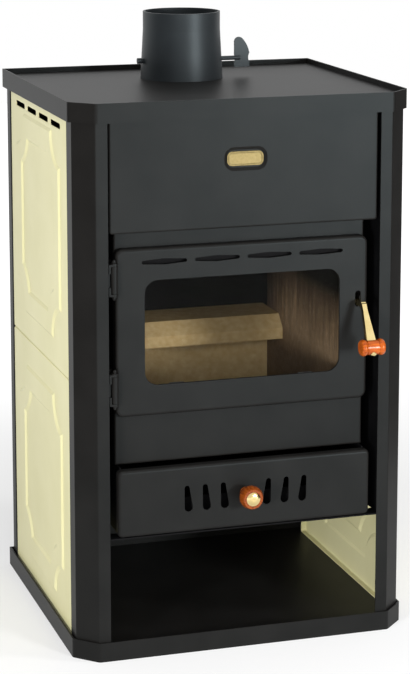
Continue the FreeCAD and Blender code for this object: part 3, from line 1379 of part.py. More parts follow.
BOX_X = CHAMBER_X - S.box_gap
BOX_LOW = CHAMBER_FLOOR + S.runner_height + S.box_low_gap
DRAWER_FLOOR = DRAWER_LOW + S.drawer_sheet
BOX_BACK = FIRE_BACK - S.box_back_gap
BOX_NOSE = S.drawer_edge - S.drawer_sheet + S.box_nose_clear
box_blank = block("ash_box_blank", (-BOX_X, DRAWER_IN, BOX_LOW), (BOX_X, BOX_BACK, BOX_HIGH))
box_space = block("ash_box_space", (-BOX_X + S.box_sheet, DRAWER_IN - S.overrun, BOX_LOW + S.box_sheet),
                  (BOX_X - S.box_sheet, BOX_BACK - S.box_sheet, BOX_HIGH + S.overrun))
box_dam = block("ash_box_dam", (-BOX_X, DRAWER_IN + S.box_dam_back, BOX_LOW),
                (BOX_X, DRAWER_IN + S.box_dam_back + S.box_sheet, BOX_DAM_HIGH))
box_nose = block("ash_box_nose", (-BOX_X - S.overrun, DRAWER_IN - S.overrun, BOX_LOW - S.overrun),
                 (BOX_X + S.overrun, DRAWER_IN + BOX_NOSE, DRAWER_FLOOR + BOX_NOSE))
node(join("ash_box", cut("ash_box_tray", box_blank, box_space, box_nose), box_dam))

# Air register: a slotted plate that slides in two guides and carries the knob
REGISTER_FACE = DRAWER_IN + S.register_clear
REGISTER_BACK = REGISTER_FACE + S.register_sheet
REGISTER_X = AIR_NEAR + AIR_PITCH * 2 + S.air_foot_radius + S.register_margin
GUIDE_X = REGISTER_X + S.guide_end
node(prism("register_plate", "XZ", REGISTER_FACE, REGISTER_BACK,
           rectangle(-REGISTER_X, REGISTER_X, REGISTER_LOW, REGISTER_HIGH),
           *air_slots(S.register_slot_extra),
           circle(ZERO, KNOB_Z, S.bolt_radius + S.bolt_clear)))
guides = []
for edge, way in ((REGISTER_HIGH, 1), (REGISTER_LOW, -1)):
    near = edge + S.register_clear * way
    far = near + S.guide_height * way
    lip = REGISTER_BACK + S.register_clear
    guides.append(prism(f"guide_{len(guides)}", "YZ", -GUIDE_X, GUIDE_X, [
        (DRAWER_IN, near), (DRAWER_IN, far), (lip + S.guide_sheet, far),
        (lip + S.guide_sheet, edge - S.guide_lip * way), (lip, edge - S.guide_lip * way), (lip, near)]))
node(group("register_guides", *guides))

# Turned knob and the bolt that ties it to the register
KNOB_Y = -POST_Y - S.knob_gap
knob_bore = S.bolt_radius + S.bolt_clear
node(turned("drawer_knob", (ZERO, KNOB_Y, KNOB_Z), (0, -1, 0), [
    (knob_bore, ZERO), (S.knob_base, ZERO), (S.knob_neck, S.knob_neck_place, S.knob_bow, 1),
    (S.knob_front, S.knob_length), (S.knob_seat, S.knob_length),
    (S.knob_seat, S.knob_length - S.knob_seat_depth), (knob_bore, S.knob_length - S.knob_seat_depth)]))
BOLT_FOOT = REGISTER_BACK + S.bolt_tail
bolt_long = BOLT_FOOT - KNOB_Y + S.knob_length - S.knob_seat_depth
node(turned("knob_bolt", (ZERO, BOLT_FOOT, KNOB_Z), (0, -1, 0), [
    (ZERO, ZERO), (S.bolt_radius, ZERO), (S.bolt_radius, bolt_long), (S.bolt_head, bolt_long),
    (S.bolt_head, bolt_long + S.knob_seat_depth, S.bolt_head_bow, 1),
    (S.bolt_head * DOME_SHARE, bolt_long + S.knob_seat_depth + S.bolt_head_rise),
    (ZERO, bolt_long + S.knob_seat_depth + S.bolt_head_rise)]))


# Every object must be sound before the pieces are written
doc.recompute()
faults = [item.Name for item in doc.Objects if "Invalid" in item.State or "Error" in item.State]
if faults:
    raise RuntimeError(f"not sound: {faults}")
for name, item in NODES.items():
    if item.Shape.isNull() or not item.Shape.isValid() or not item.Shape.Solids:
        raise RuntimeError(f"{name} has no valid solid")
os.makedirs("parts", exist_ok=True)
for name, item in NODES.items():
    item.Shape.exportStep(f"parts/{name}.step")
print(f"{len(NODES)} pieces written")
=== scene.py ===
import math

import bpy
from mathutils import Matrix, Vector


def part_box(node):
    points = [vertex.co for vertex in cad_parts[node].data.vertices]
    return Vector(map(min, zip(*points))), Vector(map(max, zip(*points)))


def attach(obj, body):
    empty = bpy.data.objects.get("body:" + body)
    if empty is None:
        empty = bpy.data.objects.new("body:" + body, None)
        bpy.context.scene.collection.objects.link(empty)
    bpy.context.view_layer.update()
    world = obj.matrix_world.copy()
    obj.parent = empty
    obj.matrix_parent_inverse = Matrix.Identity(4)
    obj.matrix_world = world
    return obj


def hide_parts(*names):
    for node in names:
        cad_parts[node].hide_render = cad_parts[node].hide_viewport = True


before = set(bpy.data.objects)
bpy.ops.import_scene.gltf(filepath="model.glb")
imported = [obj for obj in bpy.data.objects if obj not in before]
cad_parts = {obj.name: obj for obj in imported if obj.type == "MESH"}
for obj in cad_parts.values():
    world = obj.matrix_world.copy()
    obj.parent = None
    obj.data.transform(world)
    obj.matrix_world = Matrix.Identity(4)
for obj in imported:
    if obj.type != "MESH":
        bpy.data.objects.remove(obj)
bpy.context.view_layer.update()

# Base tray: a steel plate inside an upstanding rim with two cut front corners.
# The rim is folded from strip and welded at the back corners, and the whole tray
# is sprayed with stove paint.


def linear(shade):
    """Linear colour with full alpha from an sRGB hex shade."""
    parts = [int(shade[i : i + 2], 16) / 255 for i in (1, 3, 5)]
    return tuple(p / 12.92 if p <= 0.04045 else ((p + 0.055) / 1.055) ** 2.4 for p in parts) + (1.0,)


def add(tree, kind, values=None, links=None, **settings):
    """A new node with its settings, socket values and links."""
    made = tree.nodes.new(kind)
    for name, value in settings.items():
        setattr(made, name, value)
    for socket, value in (values or {}).items():
        made.inputs[socket].default_value = value
    for socket, source in (links or {}).items():
        tree.links.new(source, made.inputs[socket])
    return made


def finish(
    name, shades, cloud_mm, cloud_detail=4, grit_mm=None, grit_detail=2, depth_mm=None, stretch=None,
    **constants,
):
    """A material: shades that drift in clouds, fine grit, and constants on the shader's own sockets."""
    material = bpy.data.materials.new(name)
    material.use_nodes = True
    tree = material.node_tree
    tree.nodes.clear()
    place = add(tree, "ShaderNodeTexCoord").outputs["Object"]
    if stretch:
        place = add(tree, "ShaderNodeMapping", {"Scale": stretch}, {"Vector": place}).outputs["Vector"]
    size = {"Scale": 1000 / cloud_mm, "Detail": cloud_detail}
    cloud = add(tree, "ShaderNodeTexNoise", size, {"Vector": place}).outputs["Fac"]
    colours = add(tree, "ShaderNodeValToRGB", None, {"Fac": cloud})
    band = colours.color_ramp.elements
    while len(band) < len(shades):
        band.new(0.5)
    for element, (at, shade) in zip(band, shades.items()):
        element.position = at
        element.color = linear(shade)
    settings = {socket.replace("_", " "): value for socket, value in constants.items()}
    shader = add(tree, "ShaderNodeBsdfPrincipled", settings, {"Base Color": colours.outputs["Color"]})
    if grit_mm:
        size = {"Scale": 1000 / grit_mm, "Detail": grit_detail}
        grit = add(tree, "ShaderNodeTexNoise", size, {"Vector": place}).outputs["Fac"]
        depth = {"Distance": depth_mm / 1000, "Strength": 0.5}
        uneven = add(tree, "ShaderNodeBump", depth, {"Height": grit}).outputs["Normal"]
        tree.links.new(uneven, shader.inputs["Normal"])
    add(tree, "ShaderNodeOutputMaterial", None, {"Surface": shader.outputs["BSDF"]})
    return material


def wear(material, *names):
    """The material on pieces of the frame."""
    for name in names:
        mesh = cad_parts[name].data
        mesh.materials.clear()
        mesh.materials.append(material)


# Sprayed stove paint dries nearly black and a little warm, with a cool satin sheen.
# Its dry grain is drawn at 0.9 mm, a few times the real one, so that it shows.
paint = finish(
    "charcoal_stove_paint", {0.3: "#171615", 0.7: "#1c1b1a"}, cloud_mm=60, grit_mm=0.9, depth_mm=0.05,
    Roughness=0.42, Specular_IOR_Level=0.1, Specular_Tint=linear("#e2f9ff"),
)
wear(paint, "base_tray")

# Corner posts: four uprights folded from steel sheet, standing on the base plate.
# The front pair has a 45 degree face.  All are painted like the trays.
wear(paint, "front_left_post", "front_right_post", "rear_left_post", "rear_right_post")

# Side tiles: pressed steel pans, upper and lower, with a raised scooped band.
# They are dipped in enamel, fired, and slid in between the posts.

# Vitreous enamel is cream glass fused on steel: an even colour and a smooth face,
# with faint long ripples, about 14 mm apart, where it ran in the kiln.
enamel = finish(
    "cream_vitreous_enamel", {0.3: "#d6d1a2", 0.7: "#dcd7ab"}, cloud_mm=90, grit_mm=14, depth_mm=0.06,
    Roughness=0.35, Specular_IOR_Level=0.1,
)
wear(enamel, "left_lower_tile", "left_upper_tile", "right_lower_tile", "right_upper_tile")

# Rear panel: one flat steel sheet with two rows of air slots, painted like the posts.
# Cross-head screws through the flanges of the rear posts hold it.
wear(paint, "rear_panel")

# Zinc plating gives the screw heads a soft white bloom on bright grey.
# Its grain is drawn at 0.5 mm, coarser than the real one, so that it shows.
zinc = finish(
    "zinc_plated_steel", {0.3: "#8f9296", 0.7: "#b4b7ba"}, cloud_mm=3, grit_mm=0.5, depth_mm=0.02,
    Roughness=0.35, Metallic=1.0,
)


def new_tree(name, **inputs):
    """A geometry tree with named inputs, and what they give."""
    tree = bpy.data.node_groups.new(name, "GeometryNodeTree")
    tree.interface.new_socket("Geometry", in_out="INPUT", socket_type="NodeSocketGeometry")
    for label, kind in inputs.items():
        tree.interface.new_socket(label, in_out="INPUT", socket_type=kind)
    tree.interface.new_socket("Geometry", in_out="OUTPUT", socket_type="NodeSocketGeometry")
    return tree, add(tree, "NodeGroupInput").outputs


def close_tree(tree, shape, material_socket):
    """Plain geometry with its material, at the end of a tree."""
    real = add(tree, "GeometryNodeRealizeInstances", None, {"Geometry": shape})
    dressed = add(
        tree, "GeometryNodeSetMaterial", None,
        {"Geometry": real.outputs["Geometry"], "Material": material_socket},
    )
    add(tree, "NodeGroupOutput", None, {"Geometry": dressed.outputs["Geometry"]})


def grow(name, tree, points, edges, body, slot, **settings):
    """A piece that a tree grows on points and edges, as a plain mesh on a body."""
    seed = bpy.data.meshes.new(name + "_seed")
    seed.from_pydata(points, edges, [])
    maker = bpy.data.objects.new(name + "_seed", seed)
    bpy.context.collection.objects.link(maker)
    modifier = maker.modifiers.new("grow", "NODES")
    modifier.node_group = tree
    for item in tree.interface.items_tree:
        if item.item_type == "SOCKET" and item.name in settings:
            modifier[item.identifier] = settings[item.name]
    depsgraph = bpy.context.evaluated_depsgraph_get()
    mesh = bpy.data.meshes.new_from_object(maker.evaluated_get(depsgraph))
    bpy.data.objects.remove(maker)
    piece = bpy.data.objects.new(name, mesh)
    bpy.context.collection.objects.link(piece)
    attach(piece, body)
    return piece


# The head is a flat cone, and two crossed bars cut a cross into it, half as deep as it is high.
crown_share, cross_share = 0.7, 0.3
number, coating = "NodeSocketFloat", "NodeSocketMaterial"
screws, given = new_tree(
    "cross_head_screws", Radius=number, Height=number, Turn="NodeSocketRotation", Material=coating
)
radius, height = given["Radius"], given["Height"]
crown = add(screws, "ShaderNodeMath", {1: crown_share}, {0: radius}, operation="MULTIPLY").outputs[0]
narrow = add(screws, "ShaderNodeMath", {1: cross_share}, {0: radius}, operation="MULTIPLY").outputs[0]
head = add(
    screws, "GeometryNodeMeshCone", {"Vertices": 20, "Side Segments": 2},
    {"Radius Bottom": radius, "Radius Top": crown, "Depth": height},
)
cross = add(
    screws, "GeometryNodeMeshBoolean", None, {"Mesh 1": head.outputs["Mesh"]}, operation="DIFFERENCE"
)
lift = add(screws, "ShaderNodeCombineXYZ", None, {"Z": height}).outputs[0]
for along, wide in ((radius, narrow), (narrow, radius)):
    size = add(screws, "ShaderNodeCombineXYZ", None, {"X": along, "Y": wide, "Z": height}).outputs[0]
    bar = add(screws, "GeometryNodeMeshCube", None, {"Size": size}).outputs["Mesh"]
    cutter = add(screws, "GeometryNodeTransform", None, {"Geometry": bar, "Translation": lift})
    screws.links.new(cutter.outputs["Geometry"], cross.inputs["Mesh 2"])
set_out = add(
    screws, "GeometryNodeInstanceOnPoints", None,
    {"Points": given["Geometry"], "Instance": cross.outputs["Mesh"], "Rotation": given["Turn"]},
)
close_tree(screws, set_out.outputs["Instances"], given["Material"])
backwards = (-math.pi / 2, 0, 0)
flange_inset, lowest_screw, screw_pitch, screws_a_side = 0.015, 0.05, 0.1375, 6
post_low, post_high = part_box("rear_left_post")
flange = post_low[0] + flange_inset
levels = [post_low[2] + lowest_screw + screw_pitch * k for k in range(screws_a_side)]
grow(
    "rear_panel_screws", screws, [(side * flange, post_high[1], z) for side in (1, -1) for z in levels], [],
    "stove_body", "plain_steel", Radius=0.0042, Height=0.0022, Turn=backwards, Material=zinc,
)

# Heat shields and cross rails: plain steel sheets inside the tiles, and two angles
# bent from sheet, from post to post, that carry the firebox.  All wear the black
# steel, drawn darker than real as painted shade.

# Mill scale and heat leave sheet steel dull black, and it is drawn darker still,
# as painted shade, so that the inside reads as shadow.
# The scale shows in shallow flakes of about 2 mm.
black = finish(
    "black_steel_painted_shade", {0.3: "#070708", 0.7: "#0c0c0d"}, cloud_mm=25,
    grit_mm=2, grit_detail=3, depth_mm=0.02, Roughness=0.7, Specular_IOR_Level=0.1,
)
wear(black, "left_shield", "right_shield", "front_rail", "rear_rail")

# Ash chamber and drawer runners: the open box under the fire, bent from sheet
# and welded, with two flat steel strips that the ash drawer slides on.
wear(black, "ash_chamber")

# Cold rolling leaves steel a soft grey shine with a fine grain.
# The grain is drawn at 0.7 mm, coarser than the real one, so that it shows.
steel = finish(
    "cold_rolled_steel", {0.3: "#6f7174", 0.7: "#8a8c8e"}, cloud_mm=12, grit_mm=0.7, depth_mm=0.02,
    Roughness=0.38, Metallic=1.0,
)
wear(steel, "drawer_runners")

# Firebox: side walls, back, roof and floor of steel plate, welded together.
# The front plate is painted like the body.  The rest is black from the fire, and
# drawn darker still as painted shade.
wear(paint, "firebox_front_plate")
wear(black, "firebox_left_wall", "firebox_right_wall", "firebox_back_wall", "firebox_roof", "firebox_floor")

# Grate: a slotted slab of grey iron, cast in sand.
# It lies loose over the opening of the firebox floor.

# Sand casting leaves iron a dark grey skin with the pits of the sand.
# The pits are drawn at 1.2 mm, a few grains of sand wide, so that they show.
iron = finish(
    "grey_cast_iron", {0.3: "#2c2d30", 0.7: "#424347"}, cloud_mm=5, grit_mm=1.2, grit_detail=3, depth_mm=0.2,
    Roughness=0.62, Metallic=0.5,
)
wear(iron, "grate")

# Fire bricks: pressed clay slabs at the sides and the back, and a bevelled ledge brick.
# They stand loose against the firebox walls.  The back stays tan, and the sides are
# drawn browner and darker, as painted shade, since they lie in the shadow of the door.


# Fired clay is matt and crumbly to the eye, with open pores of 2 to 3 mm.
# Soot and painted shade darken it upwards, in upright streaks about 8 mm wide.
def fire_brick(name, shades, soot_and_shade_low, soot_and_shade_high):
    """Fired clay that soot and painted shade darken between two heights."""
    material = finish(
        name, shades, cloud_mm=9, cloud_detail=6, grit_mm=2.5, grit_detail=5, depth_mm=0.4,
        Roughness=0.9, Specular_IOR_Level=0.1,
    )
    streak_mm, upright = 8, (1.0, 1.0, 0.08)
    tree = material.node_tree
    base = tree.nodes["Principled BSDF"].inputs["Base Color"]
    clay = base.links[0].from_socket
    place = add(tree, "ShaderNodeTexCoord").outputs["Object"]
    level = add(tree, "ShaderNodeSeparateXYZ", None, {"Vector": place}).outputs["Z"]
    drawn = add(tree, "ShaderNodeMapping", {"Scale": upright}, {"Vector": place}).outputs["Vector"]
    size = {"Scale": 1000 / streak_mm, "Detail": 4}
    streak = add(tree, "ShaderNodeTexNoise", size, {"Vector": drawn}).outputs["Fac"]
    span = {1: soot_and_shade_high - soot_and_shade_low, 2: soot_and_shade_low}
    start = add(tree, "ShaderNodeMath", span, {0: streak}, operation="MULTIPLY_ADD").outputs[0]
    soot_and_shade = add(tree, "ShaderNodeMapRange", {"From Max": soot_and_shade_high}, {"Value": level, "From Min": start})
    soot_and_shade_mix = {0: soot_and_shade.outputs["Result"], 6: clay}
    # Near-black soot and painted shade take over the clay between the two heights.
    fired = add(tree, "ShaderNodeMix", {7: linear("#0c0a08")}, soot_and_shade_mix, data_type="RGBA").outputs[2]
    tree.links.new(fired, base)
    return material


tan_brick = fire_brick(
    "tan_fire_brick", {0.25: "#c6a872", 0.6: "#d4b986", 0.8: "#dec596"}, soot_and_shade_low=0.46, soot_and_shade_high=0.60
)
# The side bricks are a darker copy of the tan brick: painted shade.
painted_shade_brick = fire_brick(
    "painted_shade_fire_brick", {0.25: "#75614a", 0.6: "#846f56", 0.8: "#917d63"}, soot_and_shade_low=0.33, soot_and_shade_high=0.52
)
wear(tan_brick, "back_brick", "ledge_brick")
wear(painted_shade_brick, "left_brick", "right_brick")

# Ledge brackets and baffle: two small steel angles under the ledge brick, and the
# steel plate that turns the flames to the front under the roof.
wear(black, "ledge_brackets", "baffle_plate")

# Door panel: a deep pressed steel panel with a window and four air slots.
# A black strip behind the slots leads the air down over the glass.
wear(paint, "door_panel")
# The strip wears the black steel, drawn near-black as painted shade.
wear(black, "air_deflector")

# Door glass: clear ceramic glass on a flat fibre gasket behind the window.
# Four bent clips hold it, each with a screw into the panel.

# Ceramic glass is clear, with a thin brown haze of smoke on it.
glass = finish(
    "ceramic_glass", {0.3: "#0a0b0b", 0.7: "#14130f"}, cloud_mm=70,
    Roughness=0.04, Specular_IOR_Level=0.1, Alpha=0.1,
)
wear(glass, "door_glass")

# Spun glass fibre is pale and matt, with fuzzy yarns about 0.8 mm thick.
fibre = finish(
    "glass_fibre", {0.3: "#a9a497", 0.7: "#cfcabb"}, cloud_mm=2.5, cloud_detail=3,
    grit_mm=0.8, grit_detail=3, depth_mm=0.3, Roughness=0.95,
)
wear(fibre, "glass_gasket")
wear(steel, "glass_clips")
clip_sheet, foot_inset, foot_middle = 0.0015, 0.011, 0.004
clip_low, clip_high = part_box("glass_clips")
feet = []
for side in (-1, 1):
    for z in (clip_low[2] + foot_middle, clip_high[2] - foot_middle):
        feet.append((side * (clip_high[0] - foot_inset), clip_low[1] + clip_sheet, z))
grow(
    "glass_clip_screws", screws, feet, [], "door", "plain_steel",
    Radius=0.0032, Height=0.0020, Turn=backwards, Material=zinc,
)

# Door rope: a round glass-fibre rope laid in three strands, glued round the
# back of the door, where it is pressed against the front plate.
strand_count, strand_share, offset_share = 3, 0.5, 0.46
seal_low, seal_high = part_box("door_seal")
rope_radius = (seal_high[1] - seal_low[1]) / 2
middle = (seal_low[1] + seal_high[1]) / 2
left, right = seal_low[0] + rope_radius, seal_high[0] - rope_radius
bottom, top = seal_low[2] + rope_radius, seal_high[2] - rope_radius
ropes, given = new_tree(
    "laid_rope", Bend=number, Step=number, Lay=number, Offset=number, Strand=number, Material=coating
)
path = add(ropes, "GeometryNodeMeshToCurve", None, {"Mesh": given["Geometry"]}).outputs["Curve"]
bent = add(
    ropes, "GeometryNodeFilletCurve", {"Count": 6}, {"Curve": path, "Radius": given["Bend"]}, mode="POLY"
).outputs["Curve"]
even = add(
    ropes, "GeometryNodeResampleCurve", None, {"Curve": bent, "Length": given["Step"]}, mode="LENGTH"
).outputs["Curve"]

# The strands make a whole number of turns, so that they meet themselves where the loop closes.
length = add(ropes, "GeometryNodeCurveLength", None, {"Curve": even}).outputs["Length"]
laps = add(ropes, "ShaderNodeMath", None, {0: length, 1: given["Lay"]}, operation="DIVIDE").outputs[0]
whole = add(ropes, "ShaderNodeMath", None, {0: laps}, operation="ROUND").outputs[0]
run = add(ropes, "GeometryNodeSplineParameter").outputs["Factor"]
turns = add(ropes, "ShaderNodeMath", None, {0: run, 1: whole}, operation="MULTIPLY").outputs[0]
normal = add(ropes, "GeometryNodeInputNormal").outputs["Normal"]
tangent = add(ropes, "GeometryNodeInputTangent").outputs["Tangent"]
across = add(
    ropes, "ShaderNodeVectorMath", None, {0: tangent, 1: normal}, operation="CROSS_PRODUCT"
).outputs["Vector"]
ring = add(ropes, "GeometryNodeCurvePrimitiveCircle", {"Resolution": 8}, {"Radius": given["Strand"]})
joined = add(ropes, "GeometryNodeJoinGeometry")
for strand in range(strand_count):
    around = {1: 2 * math.pi, 2: 2 * math.pi * strand / strand_count}
    angle = add(ropes, "ShaderNodeMath", around, {0: turns}, operation="MULTIPLY_ADD").outputs[0]
    parts = []
    for way, axis in (("COSINE", normal), ("SINE", across)):
        share = add(ropes, "ShaderNodeMath", None, {0: angle}, operation=way).outputs[0]
        reach = {0: share, 1: given["Offset"]}
        out = add(ropes, "ShaderNodeMath", None, reach, operation="MULTIPLY").outputs[0]
        part = add(ropes, "ShaderNodeVectorMath", None, {0: axis, "Scale": out}, operation="SCALE")
        parts.append(part.outputs["Vector"])
    both = add(ropes, "ShaderNodeVectorMath", None, {0: parts[0], 1: parts[1]}, operation="ADD")
    wound = add(ropes, "GeometryNodeSetPosition", None, {"Geometry": even, "Offset": both.outputs["Vector"]})
    tube = add(
        ropes, "GeometryNodeCurveToMesh", None,
        {"Curve": wound.outputs["Geometry"], "Profile Curve": ring.outputs["Curve"]},
    )
    ropes.links.new(tube.outputs["Mesh"], joined.inputs["Geometry"])
close_tree(ropes, joined.outputs["Geometry"], given["Material"])
closed_loop = [(0, 1), (1, 2), (2, 3), (3, 0)]
rope = grow(
    "door_rope", ropes,
    [(left, middle, bottom), (right, middle, bottom), (right, middle, top), (left, middle, top)],
    closed_loop, "door", "seal_rope", Bend=0.009, Step=0.0018, Lay=0.018,
    Offset=rope_radius * offset_share, Strand=rope_radius * strand_share, Material=fibre,
)
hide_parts("door_seal")

# Hinges: bent steel brackets on the firebox wall, knuckles welded to the door, and
# turned pins with a small ball at each end.  All are painted over with the door.
wear(paint, "upper_hinge_bracket", "lower_hinge_bracket", "upper_hinge_knuckle", "lower_hinge_knuckle")
wear(paint, "upper_hinge_pin", "lower_hinge_pin")

# Door handle: a bent brass lever on a steel pin, with a turned beech grip across
# its end and a domed brass nut.  Its tail hooks behind a steel keeper.

# Polished brass mirrors the room in pale gold, with faint marks of the buff.
# The marks are drawn at 0.6 mm, coarser than the real ones, so that they show.
brass = finish(
    "polished_brass", {0.3: "#d6bf82", 0.7: "#e2cf98"}, cloud_mm=18, grit_mm=0.6, depth_mm=0.01,
    Roughness=0.2, Metallic=1.0,
)
wear(brass, "handle_lever", "grip_nut")


# Stained beech under varnish is glossy, with darker veins 2 mm wide along the grain.
# Its pores are drawn at 1 mm, many times the real ones, so that they show.
def beech(name, shades, stretch):
    """Stained and varnished beech, with its grain along the axis that is scaled down."""
    return finish(
        name, shades, cloud_mm=2.2, cloud_detail=5, grit_mm=1.0, grit_detail=3, depth_mm=0.05,
        stretch=stretch, Roughness=0.25, Specular_IOR_Level=0.28,
    )


# The grip shows the side of the wood, which takes the stain as a warm orange brown.
grip_beech = beech(
    "stained_beech_grip", {0.3: "#84360a", 0.55: "#a84e14", 0.75: "#bc6220"}, stretch=(0.12, 1.0, 1.0)
)
wear(grip_beech, "handle_grip")
wear(steel, "handle_bracket", "handle_pin", "door_keeper")

# Ash drawer: a pressed steel front with six slots, painted like the door, and a
# black sheet box behind it whose upper edge is rolled over a wire.
wear(paint, "drawer_front")
wear(black, "ash_box")
beads, given = new_tree("round_bead", Bend=number, Thickness=number, Material=coating)
path = add(beads, "GeometryNodeMeshToCurve", None, {"Mesh": given["Geometry"]}).outputs["Curve"]
bent = add(
    beads, "GeometryNodeFilletCurve", {"Count": 6, "Limit Radius": True},
    {"Curve": path, "Radius": given["Bend"]}, mode="POLY",
).outputs["Curve"]
ring = add(beads, "GeometryNodeCurvePrimitiveCircle", {"Resolution": 10}, {"Radius": given["Thickness"]})
tube = add(
    beads, "GeometryNodeCurveToMesh", {"Fill Caps": True},
    {"Curve": bent, "Profile Curve": ring.outputs["Curve"]},
)
close_tree(beads, tube.outputs["Mesh"], given["Material"])
wire_radius, front_clearance = 0.0012, 0.024
box_low, box_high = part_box("ash_box")
left, right = box_low[0] + wire_radius, box_high[0] - wire_radius
near, back = box_low[1] + front_clearance, box_high[1] - wire_radius
edge = box_high[2] - wire_radius
grow(
    "ash_box_rolled_edge", beads,
    [(left, near, edge), (left, back, edge), (right, back, edge), (right, near, edge)],
    [(0, 1), (1, 2), (2, 3)], "ash_drawer", "black_sheet", Bend=0.0015, Thickness=wire_radius, Material=black,
)

# Air register: a slotted steel slide behind the drawer front in two bent guides.
# The turned beech knob and its brass bolt, in a slot of the front, move it.
wear(black, "register_plate", "register_guides")

# The knob is the grip's beech drawn darker and browner, as painted shade.
# Its face shows end grain.
shaded_knob_beech = beech(
    "stained_beech_knob_painted_shade", {0.3: "#602809", 0.55: "#7d3b10", 0.75: "#8f4a19"}, stretch=(1.0, 0.12, 1.0)
)
wear(shaded_knob_beech, "drawer_knob")
wear(brass, "knob_bolt")

# Upper front panel: pressed steel with a stamped oval recess, hung under the top.
# A bare brass plate with a raised edge is glued in the recess.
wear(paint, "upper_front_panel")

# Satin brass is rubbed dull, so that it glows evenly instead of mirroring.
# The rubbing marks are drawn at 0.5 mm, coarser than the real ones, so that they show.
satin = finish(
    "satin_brass", {0.3: "#6c603f", 0.7: "#786c4a"}, cloud_mm=4, grit_mm=0.5, depth_mm=0.02,
    Roughness=0.5, Metallic=1.0,
)
wear(satin, "badge_plate")
edge_inset = 0.0025
badge_low, badge_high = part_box("badge_plate")
right, face = badge_high[0] - edge_inset, badge_low[1]
bottom, top = badge_low[2] + edge_inset, badge_high[2] - edge_inset
grow(
    "badge_raised_edge", beads,
    [(-right, face, bottom), (right, face, bottom), (right, face, top), (-right, face, top)],
    closed_loop, "stove_body", "brass", Bend=0.006, Thickness=0.0006, Material=satin,
)

# Top tray: the same rimmed steel tray as the base, with a round hole for the flue.
# It closes the posts at the top and is painted like them.
wear(paint, "top_tray")

# Flue spigot and damper: a tapered steel collar for the pipe, and a round flap
# on a rod through it, turned by a leaf-shaped handle cut from plate.

# The collar's satin paint is a cooler grey than the body's and shines more broadly.
# Its grain is drawn as coarse as the body's.
satin_paint = finish(
    "satin_flue_paint", {0.3: "#1f2224", 0.7: "#25282a"}, cloud_mm=60, grit_mm=0.9, depth_mm=0.03,
    Roughness=0.46, Specular_IOR_Level=0.32, Specular_Tint=linear("#eafaff"),
)
wear(satin_paint, "flue_spigot", "damper_handle", "damper_rod")
wear(black, "damper_flap")

# Studio floor: a wide sheet of matt pale paper that the stove stands on.
# To the camera, and in metal and glass, it brightens from the stove outwards to white.


def seen(tree):
    """One for rays from the camera, from metal and through glass, else nought."""
    ray = add(tree, "ShaderNodeLightPath").outputs
    direct = {0: ray["Is Camera Ray"], 1: ray["Is Transmission Ray"]}
    straight = add(tree, "ShaderNodeMath", None, direct, operation="MAXIMUM").outputs[0]
    either = {0: straight, 1: ray["Is Glossy Ray"]}
    return add(tree, "ShaderNodeMath", None, either, operation="MAXIMUM").outputs[0]


def sheet(name, corners, material):
    """A flat four-sided sheet for the studio."""
    mesh = bpy.data.meshes.new(name)
    mesh.from_pydata(corners, [], [(0, 1, 2, 3)])
    mesh.materials.append(material)
    made = bpy.data.objects.new(name, mesh)
    bpy.context.collection.objects.link(made)
    return made


floor_half, dim_within, white_beyond = 6.0, 0.3, 2.4
white = linear("#ffffff")

# Pale paper is matt and nearly even, so that only the stove's shadow marks it.
pale_paper = finish(
    "pale_studio_floor", {0.3: "#bababa", 0.7: "#bebebe"}, cloud_mm=800,
    Roughness=0.9, Specular_IOR_Level=0.0, Emission_Color=white,
)
tree = pale_paper.node_tree
place = add(tree, "ShaderNodeTexCoord").outputs["Object"]
distance = add(tree, "ShaderNodeVectorMath", None, {0: place}, operation="LENGTH").outputs["Value"]
shine = {"From Min": dim_within, "From Max": white_beyond, "To Min": 0.5, "To Max": 1.0}
far = add(
    tree, "ShaderNodeMapRange", shine, {"Value": distance}, interpolation_type="SMOOTHSTEP"
).outputs["Result"]
glow = add(tree, "ShaderNodeMath", None, {0: far, 1: seen(tree)}, operation="MULTIPLY").outputs[0]
tree.links.new(glow, tree.nodes["Principled BSDF"].inputs["Emission Strength"])
floor_corners = [(floor_half * x, floor_half * y, 0) for x, y in ((-1, -1), (1, -1), (1, 1), (-1, 1))]
floor = sheet("studio_floor", floor_corners, pale_paper)

# Black cards: upright sheets of black paper at both sides give painted metal dark
# edges against a white room.  Only the sheen on the stove shows them.
card_away, card_front, card_back, card_top = 1.0, -1.15, 0.35, 1.4

# Black paper is matt and takes nearly all light, so that it darkens what mirrors it.
black_paper = finish(
    "black_card", {0.3: "#060606", 0.7: "#080808"}, cloud_mm=300, Roughness=0.9, Specular_IOR_Level=0.0
)
for name, x in (("left_card", -card_away), ("right_card", card_away)):
    corners = [(x, card_front, 0), (x, card_back, 0), (x, card_back, card_top), (x, card_front, card_top)]
    card = sheet(name, corners, black_paper)
    card.visible_camera = False
    card.visible_diffuse = False
    card.visible_transmission = False
    card.visible_shadow = False

# White room: it lights the stove weakly from all sides.
# To the camera, and in metal and glass, it is plain white.
world = bpy.data.worlds.new("white_studio")
world.use_nodes = True
bpy.context.scene.world = world
tree = world.node_tree
tree.nodes.clear()
strength = add(tree, "ShaderNodeMapRange", {"To Min": 0.2, "To Max": 1.0}, {"Value": seen(tree)})
room = add(tree, "ShaderNodeBackground", {"Color": white}, {"Strength": strength.outputs["Result"]})
add(tree, "ShaderNodeOutputWorld", None, {"Surface": room.outputs["Background"]})

# Studio lights: a front light on the right that gives the paint its sheen, a key light
# for the right side, a fill light beside the camera for the firebox, a high and a low
# light for the left side, and a wide ceiling light.


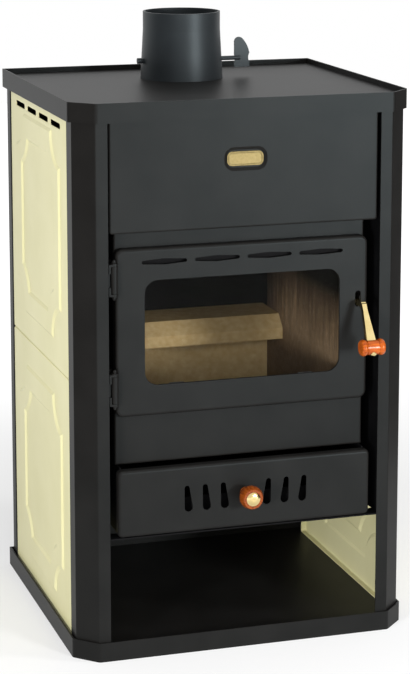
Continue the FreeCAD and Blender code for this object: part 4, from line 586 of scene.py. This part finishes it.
def soft_box(name, at, aim, width, power, sheen):
    """A square studio light pointed at a place, with or without sheen on the paint."""
    lamp = bpy.data.lights.new(name, "AREA")
    lamp.shape = "SQUARE"
    lamp.size = width
    lamp.energy = power
    holder = bpy.data.objects.new(name, lamp)
    holder.location = at
    holder.rotation_euler = (Vector(at) - Vector(aim)).to_track_quat("Z", "Y").to_euler()
    holder.visible_glossy = sheen
    bpy.context.collection.objects.link(holder)


soft_box("front_soft_box", at=(1.35, -2.95, 0.8), aim=(0, 0, 0.5), width=0.6, power=76, sheen=True)
soft_box("key_soft_box", at=(2.8, -1.7, 1.4), aim=(0, 0, 0.45), width=0.5, power=40, sheen=False)
soft_box("fill_soft_box", at=(-1.0, -3.3, 1.3), aim=(0, 0, 0.45), width=0.9, power=38, sheen=False)
soft_box("side_soft_box", at=(-2.0, -1.6, 2.4), aim=(0, 0, 0.4), width=0.4, power=10, sheen=False)
soft_box("low_soft_box", at=(-2.2, -2.2, 0.5), aim=(0, 0, 0.35), width=0.4, power=66, sheen=False)
soft_box("ceiling_soft_box", at=(0, 0, 6.0), aim=(0, 0, 0), width=12, power=130, sheen=True)

# Camera: in front of the stove on the left, a little above it and tilted down.
# The photograph's height in pixels spans the sensor, and the lens is shifted down.
photo_height, focal_pixels, shift_pixels = 674, 2195.9, -150
yaw, pitch, away = math.radians(17.3675), math.radians(9.6413), 3.4053
aim_x, aim_z = 0.00739, 0.65983
camera = bpy.data.cameras.new("studio_camera")
camera.lens = camera.sensor_width * focal_pixels / photo_height
camera.shift_y = shift_pixels / photo_height
camera.clip_end = 50
tripod = bpy.data.objects.new("studio_camera", camera)
forward = (math.sin(yaw) * math.cos(pitch), math.cos(yaw) * math.cos(pitch), -math.sin(pitch))
tripod.location = (aim_x - away * forward[0], -away * forward[1], aim_z - away * forward[2])
tripod.rotation_euler = (math.pi / 2 - pitch, 0, -yaw)
bpy.context.collection.objects.link(tripod)
bpy.context.scene.camera = tripod
bpy.context.scene.view_settings.view_transform = "Standard"
